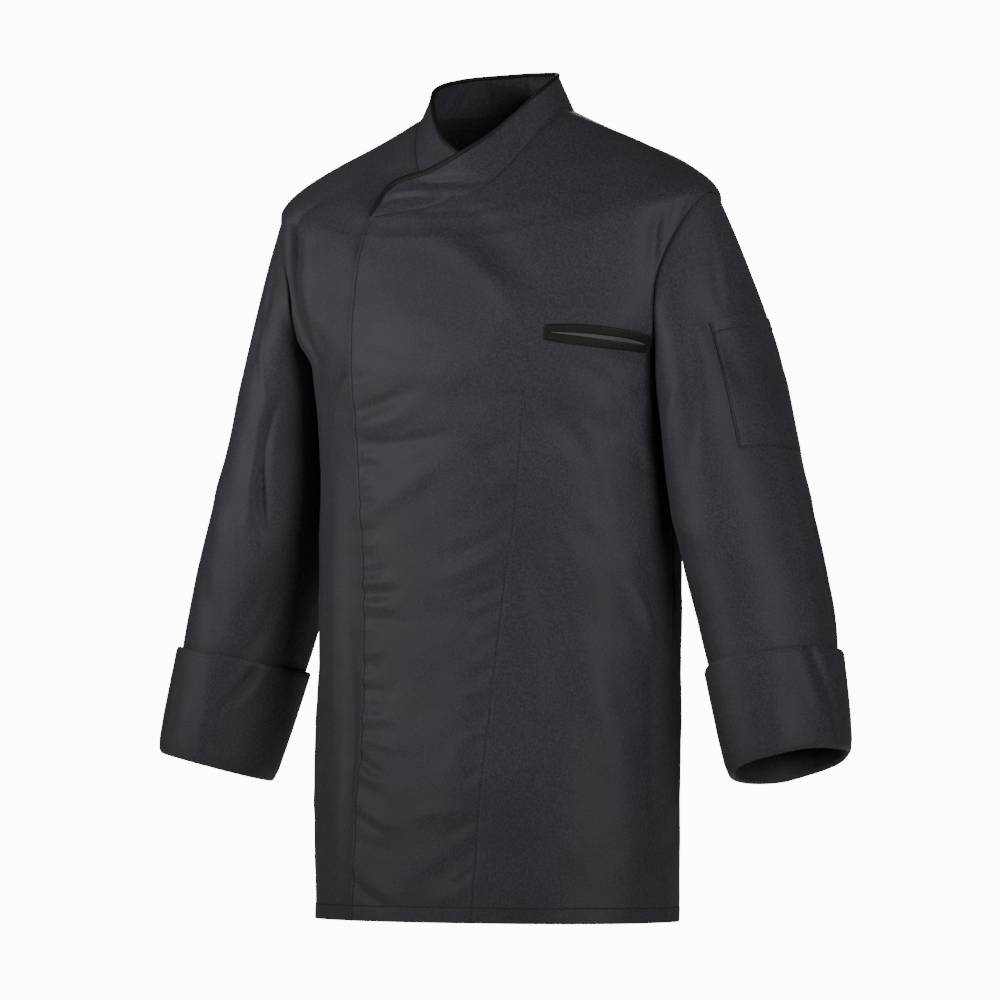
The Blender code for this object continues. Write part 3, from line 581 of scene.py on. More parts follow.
# The patch pocket on the left sleeve: its edges, where its two faces lie, how much of its relief
# the inner face follows, and how far from its sides its mouth comes to gape.
POCKET_TURN_FROM = 50.0
POCKET_TURN_TO = -20.0
POCKET_PATH_TOP = 0.181
POCKET_PATH_BOTTOM = 0.423
POCKET_OUTER = 1.9
POCKET_INNER = 0.7
POCKET_INNER_SHARE = 0.6
POCKET_MOUTH = (2.0, 24.0)

# Sewn lines: how far in from the edge each is pressed into the cloth, how wide and how deep. The one
# with a depth below 0 stands up.
Sewn = namedtuple("Sewn", "at width depth")
HEM_LINE = Sewn(15.0, 0.7, 0.5)
EDGE_LINE = Sewn(2.6, 0.7, 0.55)
PANEL_LINE = Sewn(0.0, 0.8, 0.28)
SEAM_LINE = Sewn(0.0, 1.6, 0.7)
SEAM_RIDGE = Sewn(4.0, 2.0, -0.25)
CAP_LINE = Sewn(0.0, 2.0, 0.8)
CUFF_LINE = Sewn(3.0, 0.9, 0.35)
COLLAR_LINE = Sewn(2.4, 0.8, 0.4)
POCKET_LINE = Sewn(2.2, 0.7, 0.4)
POCKET_HEM_LINE = Sewn(10.0, 0.7, 0.5)

# Doubled cloth beside a sewn line: how high it stands, and between which distances it rises. The
# pocket's mouth gapes in the same way.
Double = namedtuple("Double", "height low high")
HEM_DOUBLE = Double(0.45, 15.6, 14.2)
EDGE_DOUBLE = Double(0.25, 3.2, 1.6)
PANEL_DOUBLE = Double(0.22, -0.2, -1.4)
PANEL_DOUBLE_END = (-9.0, -4.0)
COLLAR_DOUBLE = Double(0.2, 3.0, 1.4)
POCKET_HEM_DOUBLE = Double(0.5, 10.6, 9.4)
POCKET_GAPE = Double(1.0, 14.0, 0.0)

# How far a stitch stands off the cloth or lies in the cuff's, and where the other stitches run.
STITCH_LIFT = 0.15
CUFF_STITCH_OUT = 4.85
POCKET_STITCH_OUT = 2.0
PANEL_STITCH_ASIDE = 1.7

# Where the sewn lines end: the front edge and the panel's seam up the body, as paths, and the hem of
# each panel round it, as angles. The pocket's sides start a little below its top.
EDGE_SEWN = (0.5, 748.0)
EDGE_RUN_OUT = (757.0, 751.0)
PANEL_SEWN = (1.0, PANEL_SEAM_TOP)
PANEL_RUN_OUT = (PANEL_SEAM_TOP, PANEL_SEAM_TOP - 8.0)
OVER_HEM_SEWN = (-29.0, 89.5)
UNDER_HEM_SEWN = (-89.5, -26.0)
BACK_HEM_SEWN = (90.5, 269.5)
POCKET_SEWN_FROM = POCKET_PATH_TOP + 0.002

# How many points each sewn line has.
EDGE_POINTS = 420
PANEL_POINTS = 320
HEM_POINTS = 400
CUFF_POINTS = 240
POCKET_SIDE_POINTS = 90
POCKET_END_POINTS = 60

# How wide the twill's diagonal line is drawn, measured straight across the cloth, and its share of
# the relief beside the nap's. Blender's wave texture turns by so many radians in each unit.
TWILL_LINE = 1.3
TWILL_RELIEF = 0.25
WAVE_TURN = 20

# The unevenness of a hanging cloth: the height and size of its waves, and the seed they are drawn by.
# Each is a sum of several, stretched between two shares of that size.
Wave = namedtuple("Wave", "height size seed")
WAVE_COUNT = 9
WAVE_STRETCH = (0.6, 1.6)
BODY_WAVES = (Wave(0.40, 90, 3), Wave(0.20, 42, 5))
SLEEVE_WAVES = (Wave(0.3, 70, 7),)
SLEEVE_WAVE_RADIUS = 62.0

# Where folds fade out: millimetres below the neck's seam and above the collar's, and shares of the
# sleeve below the armhole, at the cuff and, for the small ones, above it.
NECK_CALM = 60.0
ARMHOLE_CALM = 0.06
CUFF_CALM = 0.84
SMALL_CALM = 0.80
COLLAR_CALM = 5.0

# The studio's soft boxes, in metres, watts and degrees: three round the jacket and one above the
# floor. The walls are bright where they are seen, and much weaker as a light.
Lamp = namedtuple("Lamp", "name place target size power color spread")
JACKET_MIDDLE = (0.0, 0.0, -0.20)
LAMP_WHITE = (1.0, 0.98, 1.0)
LAMPS = (
    Lamp("key", (-1.60, -1.65, 0.05), JACKET_MIDDLE, (0.7, 0.7), 3.0, LAMP_WHITE, 54),
    Lamp("fill", (1.95, -1.30, 0.12), JACKET_MIDDLE, (0.8, 1.4), 4.6, LAMP_WHITE, 57),
    Lamp("back", (-1.15, 2.20, 0.30), JACKET_MIDDLE, (0.9, 1.2), 3.2, LAMP_WHITE, 58),
)
FLOOR_LAMP = Lamp("floor_wash", (0, 0, 2.4), (0, 0, -1.45), (5, 5), 120.0, (1, 1, 1), 140)
WALLS_SEEN = 12.0
WALLS_GLOW = 0.05
SENSOR_WIDTH = 36

# How finely the cloth is divided. The armhole's rows match the columns round half a sleeve.
ROWS_BELOW = 156
ROWS_ARMHOLE = 60
ROWS_TIP = 13
ROWS_SHOULDER = 40
LAP_COLUMNS = 38
SIDE_COLUMNS = 60
BACK_COLUMNS = 132
UNDER_COLUMNS = 92
SLEEVE_TOP_ROWS = (0.0, 0.0015, 0.0035, 0.006)
SLEEVE_SPAN = (0.01, 0.985)
SLEEVE_ROWS = 150
CUFF_EDGE_ROWS = 5
CUFF_ROWS = 46
COLLAR_ROWS = 20
OVER_END_COLUMNS = 40
UNDER_END_COLUMNS = 8
NECK_COLUMNS = 90
BINDING_ROWS = 31
STRIP_COLUMNS = 80
STRIP_ROWS = 11
POCKET_COLUMNS = 24
POCKET_ROWS = 34

# Extra rows and columns in millimetres, close together where the cloth is sewn. Plain rows that would
# lie within the clear distance of the hem's line are left out.
HEM_GAPS = (-1.6, -0.8, -0.3, 0.0, 0.3, 0.8, 1.6)
HEM_CLEAR = 2.2
HEM_EDGE_ROWS = (0.5, 1.2)
EDGE_GAPS = (0.5, 1.2, 1.9, 2.3, 2.6, 2.9, 3.4, 4.2)
PANEL_GAPS = (0.4, 0.9, 1.6, 2.6)
SEAM_GAPS = (0.5, 1.1, 1.9, 2.9)
POCKET_GAPS = (0.0, 0.6, 1.5, 1.9, 2.2, 2.5, 2.9, 3.8)
POCKET_HEM_GAPS = (0, 0.6, 3, 6, 8.6, 9.4, 9.7, 10, 10.3, 10.6, 11.4)


def linear(code):
    """Turn an sRGB hex colour into the linear values that Blender works in."""
    levels = [int(code[start:start + 2], 16) / 255 for start in (1, 3, 5)]
    return [c / 12.92 if c <= 0.04045 else ((c + 0.055) / 1.055) ** 2.4 for c in levels] + [1.0]


# Surfaces


def hermite(start, end, start_tangent, end_tangent, part):
    square, cube = part * part, part * part * part
    return (
        start * (2 * cube - 3 * square + 1)
        + start_tangent * (cube - 2 * square + part)
        + end * (3 * square - 2 * cube)
        + end_tangent * (cube - square)
    )


def blend(low, high, value):
    """Rise smoothly from 0 at `low` to 1 at `high`."""
    part = np.clip((value - low) / (high - low), 0.0, 1.0)
    return part * part * (3 - 2 * part)


def mix(start, end, part):
    return start + (end - start) * part


def unit(vectors):
    return vectors / np.maximum(np.linalg.norm(vectors, axis=-1, keepdims=True), 1e-9)


def read(rows, name, at):
    """Read one column of a table at any places, as a smooth curve that never overshoots its rows."""
    knots = np.array([row.at for row in rows], float)
    values = np.array([getattr(row, name) for row in rows], float)
    steps = np.diff(knots)
    grades = np.diff(values) / steps
    before, after = grades[:-1], grades[1:]
    total = np.where(before + after == 0, 1.0, before + after)
    inner = np.where(before * after > 0, 2 * before * after / total, 0.0)
    slopes = np.concatenate([grades[:1], inner, grades[-1:]])
    at = np.clip(at, knots[0], knots[-1])
    index = np.clip(np.searchsorted(knots, at, side="right") - 1, 0, len(steps) - 1)
    part = (at - knots[index]) / steps[index]
    start, end = slopes[index] * steps[index], slopes[index + 1] * steps[index]
    return hermite(values[index], values[index + 1], start, end, part)


def fold_heights(folds, across, along, across_scale, along_scale=1.0):
    """Add up the soft ridges and troughs at every place on the flat cloth."""
    height = np.zeros(np.broadcast(across, along).shape)
    for fold in folds:
        start = np.array((fold.a * across_scale, fold.z * along_scale))
        run = np.array((fold.to_a * across_scale, fold.to_z * along_scale)) - start
        length = math.hypot(*run)
        right, up = run / length
        reach_x, reach_y = across - start[0], along - start[1]
        part = (reach_x * right + reach_y * up) / length
        aside = reach_x * up - reach_y * right - fold.bow * 4 * part * (1 - part)
        run_in = blend(-RUN_IN, RUN_IN, part) * blend(1 + RUN_IN, 1 - RUN_IN, part)
        width = fold.width * (1 + fold.skew * np.tanh(aside / fold.width))
        height += fold.height * run_in * np.exp(-((aside / width) ** 2))
    return height


def unevenness(across, along, wave):
    """Give the gentle wander of a hanging cloth: a sum of long waves in fixed random directions."""
    draw = np.random.default_rng(wave.seed)
    least, most = (0, 0, WAVE_STRETCH[0]), (math.pi, 2 * math.pi, WAVE_STRETCH[1])
    total = 0.0
    for turn, phase, stretch in draw.uniform(least, most, (WAVE_COUNT, 3)):
        reach = across * math.cos(turn) + along * math.sin(turn)
        total = total + np.sin(reach * 2 * math.pi / (wave.size * stretch) + phase)
    return wave.height * (total / math.sqrt(WAVE_COUNT))


def trunk_base(angle, path):
    """Give the trunk's smooth surface, with no fold in it."""
    level = {name: read(LEVELS, name, path) for name in Level._fields[1:]}
    sine, cosine = np.sin(np.radians(angle)), np.cos(np.radians(angle))
    power = 2 / TRUNK_SQUARENESS
    depth = np.where(cosine > 0, level["front_depth"], level["back_depth"])
    middle_z = np.where(cosine > 0, level["z_front"], level["z_back"])
    ridge = np.hypot(cosine, RIDGE_ROUNDING) - RIDGE_ROUNDING
    ridge = ridge / (math.hypot(1, RIDGE_ROUNDING) - RIDGE_ROUNDING)
    low, high = math.sin(math.radians(CHEST_TO)), math.sin(math.radians(SIDE_FROM))
    width = mix(level["chest_width"], level["half_width"], blend(low, high, np.abs(sine)))
    x = width * np.sign(sine) * np.abs(sine) ** power
    y = level["centre_y"] - depth * np.sign(cosine) * np.abs(cosine) ** power
    middle = RIDGE_SHARE * ridge + (1 - RIDGE_SHARE) * cosine ** 2
    z = mix(level["z_side"], middle_z, middle)
    return np.stack(np.broadcast_arrays(x, y, z), axis=-1)


def torso_point(angle, path, out=0.0, folds=()):
    """Give the body's surface with its folds, moved `out` along its own normal."""
    angle, path = np.broadcast_arrays(np.asarray(angle, float), np.asarray(path, float))
    here = trunk_base(angle, path)
    around = trunk_base(angle + ANGLE_STEP, path) - trunk_base(angle - ANGLE_STEP, path)
    high = np.minimum(path + PATH_STEP, NECK_PATH)
    up = trunk_base(angle, high) - trunk_base(angle, high - 2 * PATH_STEP)
    normal = unit(np.cross(around, up))
    across, along = np.radians(angle) * TRUNK_RADIUS, here[..., 2]
    calm = blend(NECK_PATH, NECK_PATH - NECK_CALM, path)
    height = LARGE_SHARE * fold_heights(LARGE_FOLDS, across, along, ANGLE_TO_MM)
    if folds:
        height = height + fold_heights(folds, across, along, ANGLE_TO_MM)
        for wave in BODY_WAVES:
            height = height + unevenness(across, along, wave)
    return here + normal * (out + calm * height)[..., None]


def over_lift(angle):
    """The over front lies outside the under front and comes down to the trunk at its side seam."""
    return LAP * blend(*LAP_ENDS, angle)


def under_lift(angle):
    """The under front draws in a little where the over front hides it."""
    return -UNDER_TUCK * blend(*TUCK_ENDS, angle)


def armhole_angle(path):
    part = np.clip((path - ARMHOLE_MIDDLE) / ARMHOLE_REACH, -1, 1)
    return 90.0 - ARMHOLE_DIP * np.sqrt(1 - part * part)


def angle_at_width(x, path):
    width = read(LEVELS, "chest_width", path)
    return np.degrees(np.arcsin(np.minimum(np.abs(x) / width, 1.0) ** (TRUNK_SQUARENESS / 2)))


def lap_angle(path, lap_scale=1.0):
    """Give the front edge's angle past the centre: straight up the lap, then along the neckline."""
    lap = read(FRONT_EDGE, "lap", np.minimum(path, COLLAR_END_PATH)) * lap_scale
    straight = angle_at_width(lap, np.minimum(path, COLLAR_END_PATH))
    neckline = np.clip((NECK_PATH - path) / (NECK_PATH - COLLAR_END_PATH), 0, 1)
    return straight * neckline


def panel_paths():
    """List the levels of a body panel from the hem to the neck, closer together at the hem's seam."""
    below = np.linspace(0, UNDERARM_PATH, ROWS_BELOW, endpoint=False)
    below = below[np.abs(below - HEM_LINE.at) > HEM_CLEAR]
    below = np.sort(np.concatenate([below, HEM_LINE.at + np.array(HEM_GAPS), HEM_EDGE_ROWS]))
    armhole = ARMHOLE_MIDDLE - ARMHOLE_REACH * np.cos(np.linspace(0, math.pi, ROWS_ARMHOLE + 1))
    tip = np.linspace(SHOULDER_TIP_PATH, COLLAR_END_PATH, ROWS_TIP + 1)[1:-1]
    shoulder = np.linspace(COLLAR_END_PATH, NECK_PATH, ROWS_SHOULDER + 1)
    return np.concatenate([below, armhole, tip, shoulder])


def seam_columns(start, end, count, near_start, near_end):
    """Space the columns from `start` to `end`, with extra ones close to the seams."""
    step = (end - start) / count
    way = np.sign(np.mean(step))
    columns = [start + step * place for place in range(count + 1)]
    columns += [start + way * gap * MM_TO_ANGLE for gap in near_start]
    columns += [end - way * gap * MM_TO_ANGLE for gap in near_end]
    return np.sort(np.stack(columns, axis=-1), axis=-1)


def groove(distance, line):
    """Press a sewn line into the cloth, by the distance from the edge."""
    return -line.depth * np.exp(-(((distance - line.at) / line.width) ** 2))


def doubled(distance, double):
    """Raise the doubled cloth beside a sewn line."""
    return double.height * blend(double.low, double.high, distance)


def hem_relief(path):
    """The hem is turned up double and sewn along its top."""
    return doubled(path, HEM_DOUBLE) + groove(path, HEM_LINE)


def edge_relief(distance):
    """A sewn edge: a soft roll outside the line of stitches."""
    return groove(distance, EDGE_LINE) + doubled(distance, EDGE_DOUBLE)


def seam_relief(angle, path):
    """The armhole, side and shoulder seams draw their panels in a little."""
    edge = armhole_angle(path)
    distance = np.where(angle > 90, np.abs(angle - 180) - (180 - edge), edge - np.abs(angle))
    distance = np.abs(distance) / MM_TO_ANGLE
    return groove(distance, SEAM_LINE) + groove(distance, SEAM_RIDGE)


def dome(angle, z, bump):
    """Raise the round of a hidden press stud."""
    reach = np.hypot((angle - bump.angle) / MM_TO_ANGLE, z - bump.z) / bump.radius
    return bump.height * np.sqrt(np.clip(1 - reach ** 2, 0, 1)) * blend(*BUMP_RIM, reach)


def over_relief(angle, path):
    """Add up what sewing does to the over front's surface."""
    edge = (angle + lap_angle(path)) / MM_TO_ANGLE
    seam = (angle - read(PANEL_SEAM, "angle", path)) / MM_TO_ANGLE
    allowance = doubled(seam, PANEL_DOUBLE) * blend(*PANEL_DOUBLE_END, seam)
    relief = hem_relief(path) + edge_relief(edge) * blend(*EDGE_RUN_OUT, path)
    relief = relief + blend(*PANEL_RUN_OUT, path) * (groove(seam, PANEL_LINE) + allowance)
    z = trunk_base(angle, path)[..., 2]
    return relief + dome(angle, z, SNAP_BUMP) + seam_relief(angle, path)


def front_over_surface(angle, path, out=0.0):
    lift = over_lift(angle) + over_relief(angle, path)
    return torso_point(angle, path, lift + out, OVER_FRONT_FOLDS)


def front_under_surface(angle, path, out=0.0):
    lift = under_lift(angle) + hem_relief(path) + seam_relief(angle, path)
    return torso_point(angle, path, lift + out, UNDER_FRONT_FOLDS)


def back_surface(angle, path, out=0.0):
    return torso_point(angle, path, hem_relief(path) + seam_relief(angle, path) + out, BACK_FOLDS)


def over_columns(paths):
    edge, seam, side = -lap_angle(paths), read(PANEL_SEAM, "angle", paths), armhole_angle(paths)
    lap = seam_columns(edge, seam, LAP_COLUMNS, EDGE_GAPS, PANEL_GAPS)
    rest = seam_columns(seam, side, SIDE_COLUMNS, PANEL_GAPS, SEAM_GAPS)
    return np.concatenate([lap, rest[:, 1:]], axis=-1)


def under_columns(paths):
    inner = lap_angle(paths, UNDER_LAP_SCALE)
    return seam_columns(-armhole_angle(paths), inner, UNDER_COLUMNS, SEAM_GAPS, ())


def back_columns(paths):
    outer = armhole_angle(paths)
    return seam_columns(180 - outer, 180 + outer, BACK_COLUMNS, SEAM_GAPS, SEAM_GAPS)


def ring_centre(path):
    return np.stack([read(RINGS, name, path) for name in ("x", "y", "z")], axis=-1)


def ring_point(turn, path):
    """Give a point of the hanging sleeve's ring, square to the sleeve's axis."""
    axis = unit(ring_centre(path + AXIS_STEP) - ring_centre(path - AXIS_STEP))
    forward = np.array((0.0, -1.0, 0.0))
    forward = unit(forward - axis * np.sum(forward * axis, axis=-1, keepdims=True))
    outward = unit(np.cross(axis, forward))
    outward = outward * np.sign(outward[..., :1])
    across = read(RINGS, "across", path) * np.cos(np.radians(turn))
    deep = read(RINGS, "deep", path) * np.sin(np.radians(turn))
    return ring_centre(path) + outward * across[..., None] + forward * deep[..., None]


def armhole_point(turn):
    path = ARMHOLE_MIDDLE + ARMHOLE_REACH * np.cos(np.radians(turn))
    dip = ARMHOLE_DIP * np.abs(np.sin(np.radians(turn)))
    return np.where(turn % 360 <= 180, 90.0 - dip, 90.0 + dip), path


def armhole_seam(turn):
    """Give the sleeve's first ring: the armhole's line, moved across it into the hole."""
    here = torso_point(*armhole_point(turn))
    along = torso_point(*armhole_point(turn + 1)) - torso_point(*armhole_point(turn - 1))
    outward = torso_point(*armhole_point(turn), 1.0) - here
    return here + unit(np.cross(outward, along)) * SLEEVE_GAP


def sleeve_base(turn, path):
    """Give the left sleeve's smooth surface: the armhole's line flows into the hanging rings."""
    turn, path = np.broadcast_arrays(np.asarray(turn, float), np.asarray(path, float))
    hanging = ring_point(turn, np.maximum(path, RING_START))
    start, end = armhole_seam(turn), ring_point(turn, np.full_like(turn, RING_START))
    top = np.maximum(np.cos(np.radians(turn)), 0.0)
    fullness = CAP_FULLNESS * (CAP_SIDE_SHARE + CAP_TOP_SHARE * top)
    leave = (end - start) + np.array(CAP_WAY) * fullness[..., None]
    further = ring_point(turn, np.full_like(turn, RING_START + AXIS_STEP))
    arrive = (further - end) * RING_START / AXIS_STEP * CAP_ARRIVAL
    part = np.minimum(path / RING_START, 1.0)[..., None]
    upper = hermite(start, end, leave, arrive, part)
    return clear_of_trunk(np.where((path >= RING_START)[..., None], hanging, upper))


def grown(grow, depth):
    return np.minimum(grow.start + grow.slope * depth, grow.most)


def clear_of_trunk(point):
    """Press the sleeve's inner side flat where it would otherwise touch the body."""
    x, y, z = point[..., 0], point[..., 1], point[..., 2]
    depth = np.maximum(UNDERARM_Z - z, 0.0)
    path = z - HEM_Z
    centre_y = read(LEVELS, "centre_y", path)
    front, back = read(LEVELS, "front_depth", path), read(LEVELS, "back_depth", path)
    reach = np.minimum(np.abs(y - centre_y) / np.where(y < centre_y, front, back), 1.0)
    width = (1 - reach ** TRUNK_SQUARENESS) ** (1 / TRUNK_SQUARENESS)
    nearest = read(LEVELS, "half_width", path) * width + grown(SLEEVE_CLEARANCE, depth)
    softness = grown(PRESS_SOFTNESS, depth)
    spare = (x - nearest) / softness
    pushed = nearest + softness * np.logaddexp(0.0, spare)
    return np.stack([np.where(depth > 0, pushed, x), y, z], axis=-1)


def sleeve_folds(turn, path, folds):
    """Add up the folds at a place round the sleeve, counted the short way from each fold."""
    height = np.zeros(turn.shape)
    for fold in folds:
        near = (turn - fold.a + 180) % 360 - 180 + fold.a
        fold = fold._replace(to_a=(fold.to_a - fold.a + 180) % 360 - 180 + fold.a)
        across, along = np.radians(near) * SLEEVE_RADIUS, path * SLEEVE_LENGTH
        height = height + fold_heights([fold], across, along, TURN_TO_MM, SLEEVE_LENGTH)
    return height


def wrist_draw(side, turn, path):
    """Give how far the sleeve is drawn up near its wrist, as a share of its length."""
    outer = (1 + np.cos(np.radians(turn))) / 2
    return CUFF_DRAW[side].wrist / SLEEVE_LENGTH * outer * blend(WRIST_FROM, 1.0, path)


def cuff_top_draw(side, turn, path):
    """Give how far the cuff's outside is drawn up near its top edge, as a share of the length."""
    inner = (1 - np.cos(np.radians(turn))) / 2
    drawn = CUFF_DRAW[side].top + CUFF_DRAW[side].tilt * inner
    return drawn / SLEEVE_LENGTH * blend(CUFF_TO, CUFF_FROM, path)


def cuff_wander(side, turn):
    """Give how far the cuff's top edge wanders down its sleeve, as a share of the length."""
    return sum(
        wander.height * np.sin(np.radians(turn * wander.waves + wander.start))
        for wander in CUFF_WANDER[side]
    )


def sleeve_point(side, turn, path, out=0.0, cuff=False):
    """Give a sleeve's surface with its folds, on the wearer's left."""
    turn, path = np.broadcast_arrays(np.asarray(turn, float), np.asarray(path, float))
    path = path - wrist_draw(side, turn, path)
    here = sleeve_base(turn, path)
    around = sleeve_base(turn + TURN_STEP, path) - sleeve_base(turn - TURN_STEP, path)
    low = np.maximum(path - SLEEVE_STEP, 0.0)
    down = sleeve_base(turn, low + 2 * SLEEVE_STEP) - sleeve_base(turn, low)
    normal = unit(np.cross(around, down))
    large = sleeve_folds(turn, path, LARGE_SLEEVE_FOLDS[side])
    height = LARGE_SHARE * large * blend(1.0, CUFF_CALM, path)
    if cuff:
        height = height + sleeve_folds(turn, path, CUFF_FOLDS[side])
    else:
        small = sleeve_folds(turn, path, SMALL_SLEEVE_FOLDS[side])
        height = height + small * blend(CUFF_CALM, SMALL_CALM, path)
        across, along = np.radians(turn) * SLEEVE_WAVE_RADIUS, path * SLEEVE_LENGTH
        for wave in SLEEVE_WAVES:
            height = height + unevenness(across, along, wave)
    height = height * blend(0.0, ARMHOLE_CALM, path)
    return here + normal * (out + height)[..., None]


def seam_point(turn, over):
    """Give a point of the neckline, where the collar is sewn on."""
    share = np.clip(turn / COLLAR_END_TURN, 0, 1)
    path = mix(NECK_PATH, COLLAR_END_PATH, share)
    angle = np.where(turn >= 0, turn, -lap_angle(path))
    if over:
        return torso_point(angle, path, over_lift(angle))
    return torso_point(-angle, path, under_lift(-angle))


def collar_point(turn, over, rise):
    """Give a point of the collar band: `rise` is 0 on the seam and 1 on the top edge."""
    seam = seam_point(turn, over)
    brim = np.stack([read(BRIM, name, turn) for name in ("x", "y", "z")], axis=-1)
    away = unit(brim * np.array((1.0, 1.0, 0.0)))
    front = blend(*PARTING, turn)[..., None]
    if over:
        brim = brim + away * OVER_END_OUT * front
    else:
        flip = np.array((-1.0, 1.0, 1.0))
        brim = brim * flip - away * flip * UNDER_END_IN * front
    return mix(seam, brim, np.asarray(rise, float)[..., None])


def collar_height(turn, over):
    """Give the way from the band's seam to its top edge."""
    return collar_point(turn, over, np.ones_like(turn)) - collar_point(turn, over, np.zeros_like(turn))


def collar_normal(turn, over, rise):
    low, high = np.maximum(turn - 1, COLLAR_END_TURN), np.minimum(turn + 1, 180)
    around = collar_point(high, over, rise) - collar_point(low, over, rise)
    normal = unit(np.cross(around, collar_height(turn, over)))
    return normal if over else -normal


def collar_turns(over):
    """List the collar's columns on one half, from its free end to the centre back."""
    if over:
        front = np.linspace(COLLAR_END_TURN, 0, OVER_END_COLUMNS, endpoint=False)
    else:
        front = np.linspace(UNDER_END_TURN, 0, UNDER_END_COLUMNS, endpoint=False)
    return np.concatenate([front, np.linspace(0, 180, NECK_COLUMNS + 1)])


def collar_reach(turn):
    """Give the distance along the collar from the centre front, from the turn round the neck."""
    return np.where(turn < 0, turn * COLLAR_END_SCALE, np.radians(turn) * COLLAR_RADIUS)


def collar_creases(turn, over, rise):
    """Add up the collar's creases, measured along the band in millimetres."""
    reach = collar_reach(turn)
    height = np.zeros(np.broadcast(reach, rise).shape)
    for fold in OVER_COLLAR_FOLDS if over else UNDER_COLLAR_FOLDS:
        start, end = collar_reach(np.array((fold.a, fold.to_a)))
        height = height + fold_heights([fold._replace(a=start, to_a=end)], reach, rise, 1.0)
    return height * blend(0, COLLAR_CALM, rise)


def collar_surface(turn, over, seam_gap, share, out):
    """Give the band between its seam and the binding's fold, `share` 0 to 1, moved `out`."""
    full = np.linalg.norm(collar_height(turn, over), axis=-1)
    rise = mix(seam_gap / full, 1 - COLLAR_TOP_GAP / full, share)
    rise, wide = np.broadcast_arrays(rise, turn)
    creases = collar_creases(turn, over, rise * full)
    seam_roll = groove(rise * full, COLLAR_LINE) + doubled(rise * full, COLLAR_DOUBLE)
    normal = collar_normal(wide, over, rise)
    return collar_point(wide, over, rise) + normal * (out + creases + seam_roll)[..., None]


# Meshes


def tube_normals(grid):
    """Give the way that each point of a closed tube faces, away from its middle."""
    around = np.roll(grid, -1, axis=1) - np.roll(grid, 1, axis=1)
    normals = unit(np.cross(around, np.gradient(grid, axis=0)))
    away = grid - grid.mean(axis=1, keepdims=True)
    return normals * np.sign(np.sum(normals * away))


def quads(index):
    corners = [index[:-1, :-1], index[:-1, 1:], index[1:, 1:], index[1:, :-1]]
    return np.stack(corners, axis=-1).reshape(-1, 4)


def wall_faces(index, inner, closed):
    """List the faces of a wall: its outer and inner side and the rims that close it."""
    faces = [quads(index), quads(inner)[:, ::-1]]
    faces.append(quads(np.stack([inner[0], index[0]])))
    faces.append(quads(np.stack([index[-1], inner[-1]])))
    if not closed:
        faces.append(quads(np.stack([index[:, 0], inner[:, 0]])))
        faces.append(quads(np.stack([inner[:, -1], index[:, -1]])))
    return np.concatenate(faces)


def shell(name, outer, inner, material, closed=False, mirrored=False, sharp=50):
    """Close two grids into one thin wall of cloth, with a UV map in millimetres along the cloth."""
    rows, columns = outer.shape[:2]
    index = np.arange(rows * columns).reshape(rows, columns)
    if closed:
        index = np.concatenate([index, index[:, :1]], axis=1)
    faces = wall_faces(index, index + rows * columns, closed)
    wide = columns + 1 if closed else columns
    spots = np.arange(rows * wide).reshape(rows, wide)
    corners = wall_faces(spots, spots + rows * wide, closed)
    flat = flat_places(np.concatenate([outer, outer[:, :1]], axis=1) if closed else outer)
    flat = np.concatenate([flat.reshape(-1, 2)] * 2)
    points = np.concatenate([outer.reshape(-1, 3), inner.reshape(-1, 3)]) * MM
    if mirrored:
        points = points * np.array((-1.0, 1.0, 1.0))
    if not points_out(points, faces, rows, columns):
        faces, corners = faces[:, ::-1], corners[:, ::-1]
    mesh = bpy.data.meshes.new(name)
    mesh.from_pydata(points.tolist(), [], faces.tolist())
    layer = mesh.uv_layers.new(name="cloth")
    layer.data.foreach_set("uv", flat[corners.reshape(-1)].astype(np.float32).reshape(-1))
    mesh.materials.append(material)
    mesh.shade_smooth()
    mesh.set_sharp_from_angle(angle=math.radians(sharp))
    mesh.validate()
    return add_object(name, mesh)


def points_out(points, faces, rows, columns):
    """Tell whether the outer side's faces turn away from the inner side."""
    middle = (rows // 2) * columns + columns // 2
    count = rows * columns
    face = faces[np.flatnonzero((faces[:count] == middle).any(axis=1))[0]]
    a, b, c, d = points[face]
    normal = np.cross(c - a, d - b)
    return float(np.dot(normal, points[middle] - points[middle + count])) > 0


def flat_places(grid):
    """Unroll a grid: each point's distance along the cloth from the middle column, and up it."""
    steps = np.linalg.norm(np.diff(grid, axis=1), axis=-1)
    across = np.concatenate([np.zeros((len(grid), 1)), np.cumsum(steps, axis=1)], axis=1)
    middle = grid.shape[1] // 2
    across = across - across[:, middle:middle + 1]
    rises = np.linalg.norm(np.diff(grid[:, middle], axis=0), axis=-1)
    up = np.concatenate([[0.0], np.cumsum(rises)])
    return np.stack([across, np.broadcast_to(up[:, None], across.shape)], axis=-1)


def add_object(name, data):
    item = bpy.data.objects.new(name, data)
    bpy.context.scene.collection.objects.link(item)
    return item


def inset(grid):
    """Draw a grid's edges in by half a seam's gap."""
    grid = grid.copy()
    for edge, beside in ((0, 1), (-1, -2)):
        grid[edge] += unit(grid[beside] - grid[edge]) * SEAM_GAP / 2
    for edge, beside in ((0, 1), (-1, -2)):
        grid[:, edge] += unit(grid[:, beside] - grid[:, edge]) * SEAM_GAP / 2
    return grid


def finish_cloth(item, node):
    """Hang a piece of cloth on the root, and hide the solid that it takes the place of."""
    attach(item, "root")
    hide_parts(node)


# Materials


def add_node(tree, kind, values=None, **settings):
    """Add one node, with its options, and its sockets set or linked."""
    node = tree.nodes.new(kind)
    for name, value in settings.items():
        setattr(node, name, value)
    for socket, value in (values or {}).items():
        if isinstance(value, bpy.types.NodeSocket):
            tree.links.new(value, node.inputs[socket])
        else:
            node.inputs[socket].default_value = value
    return node


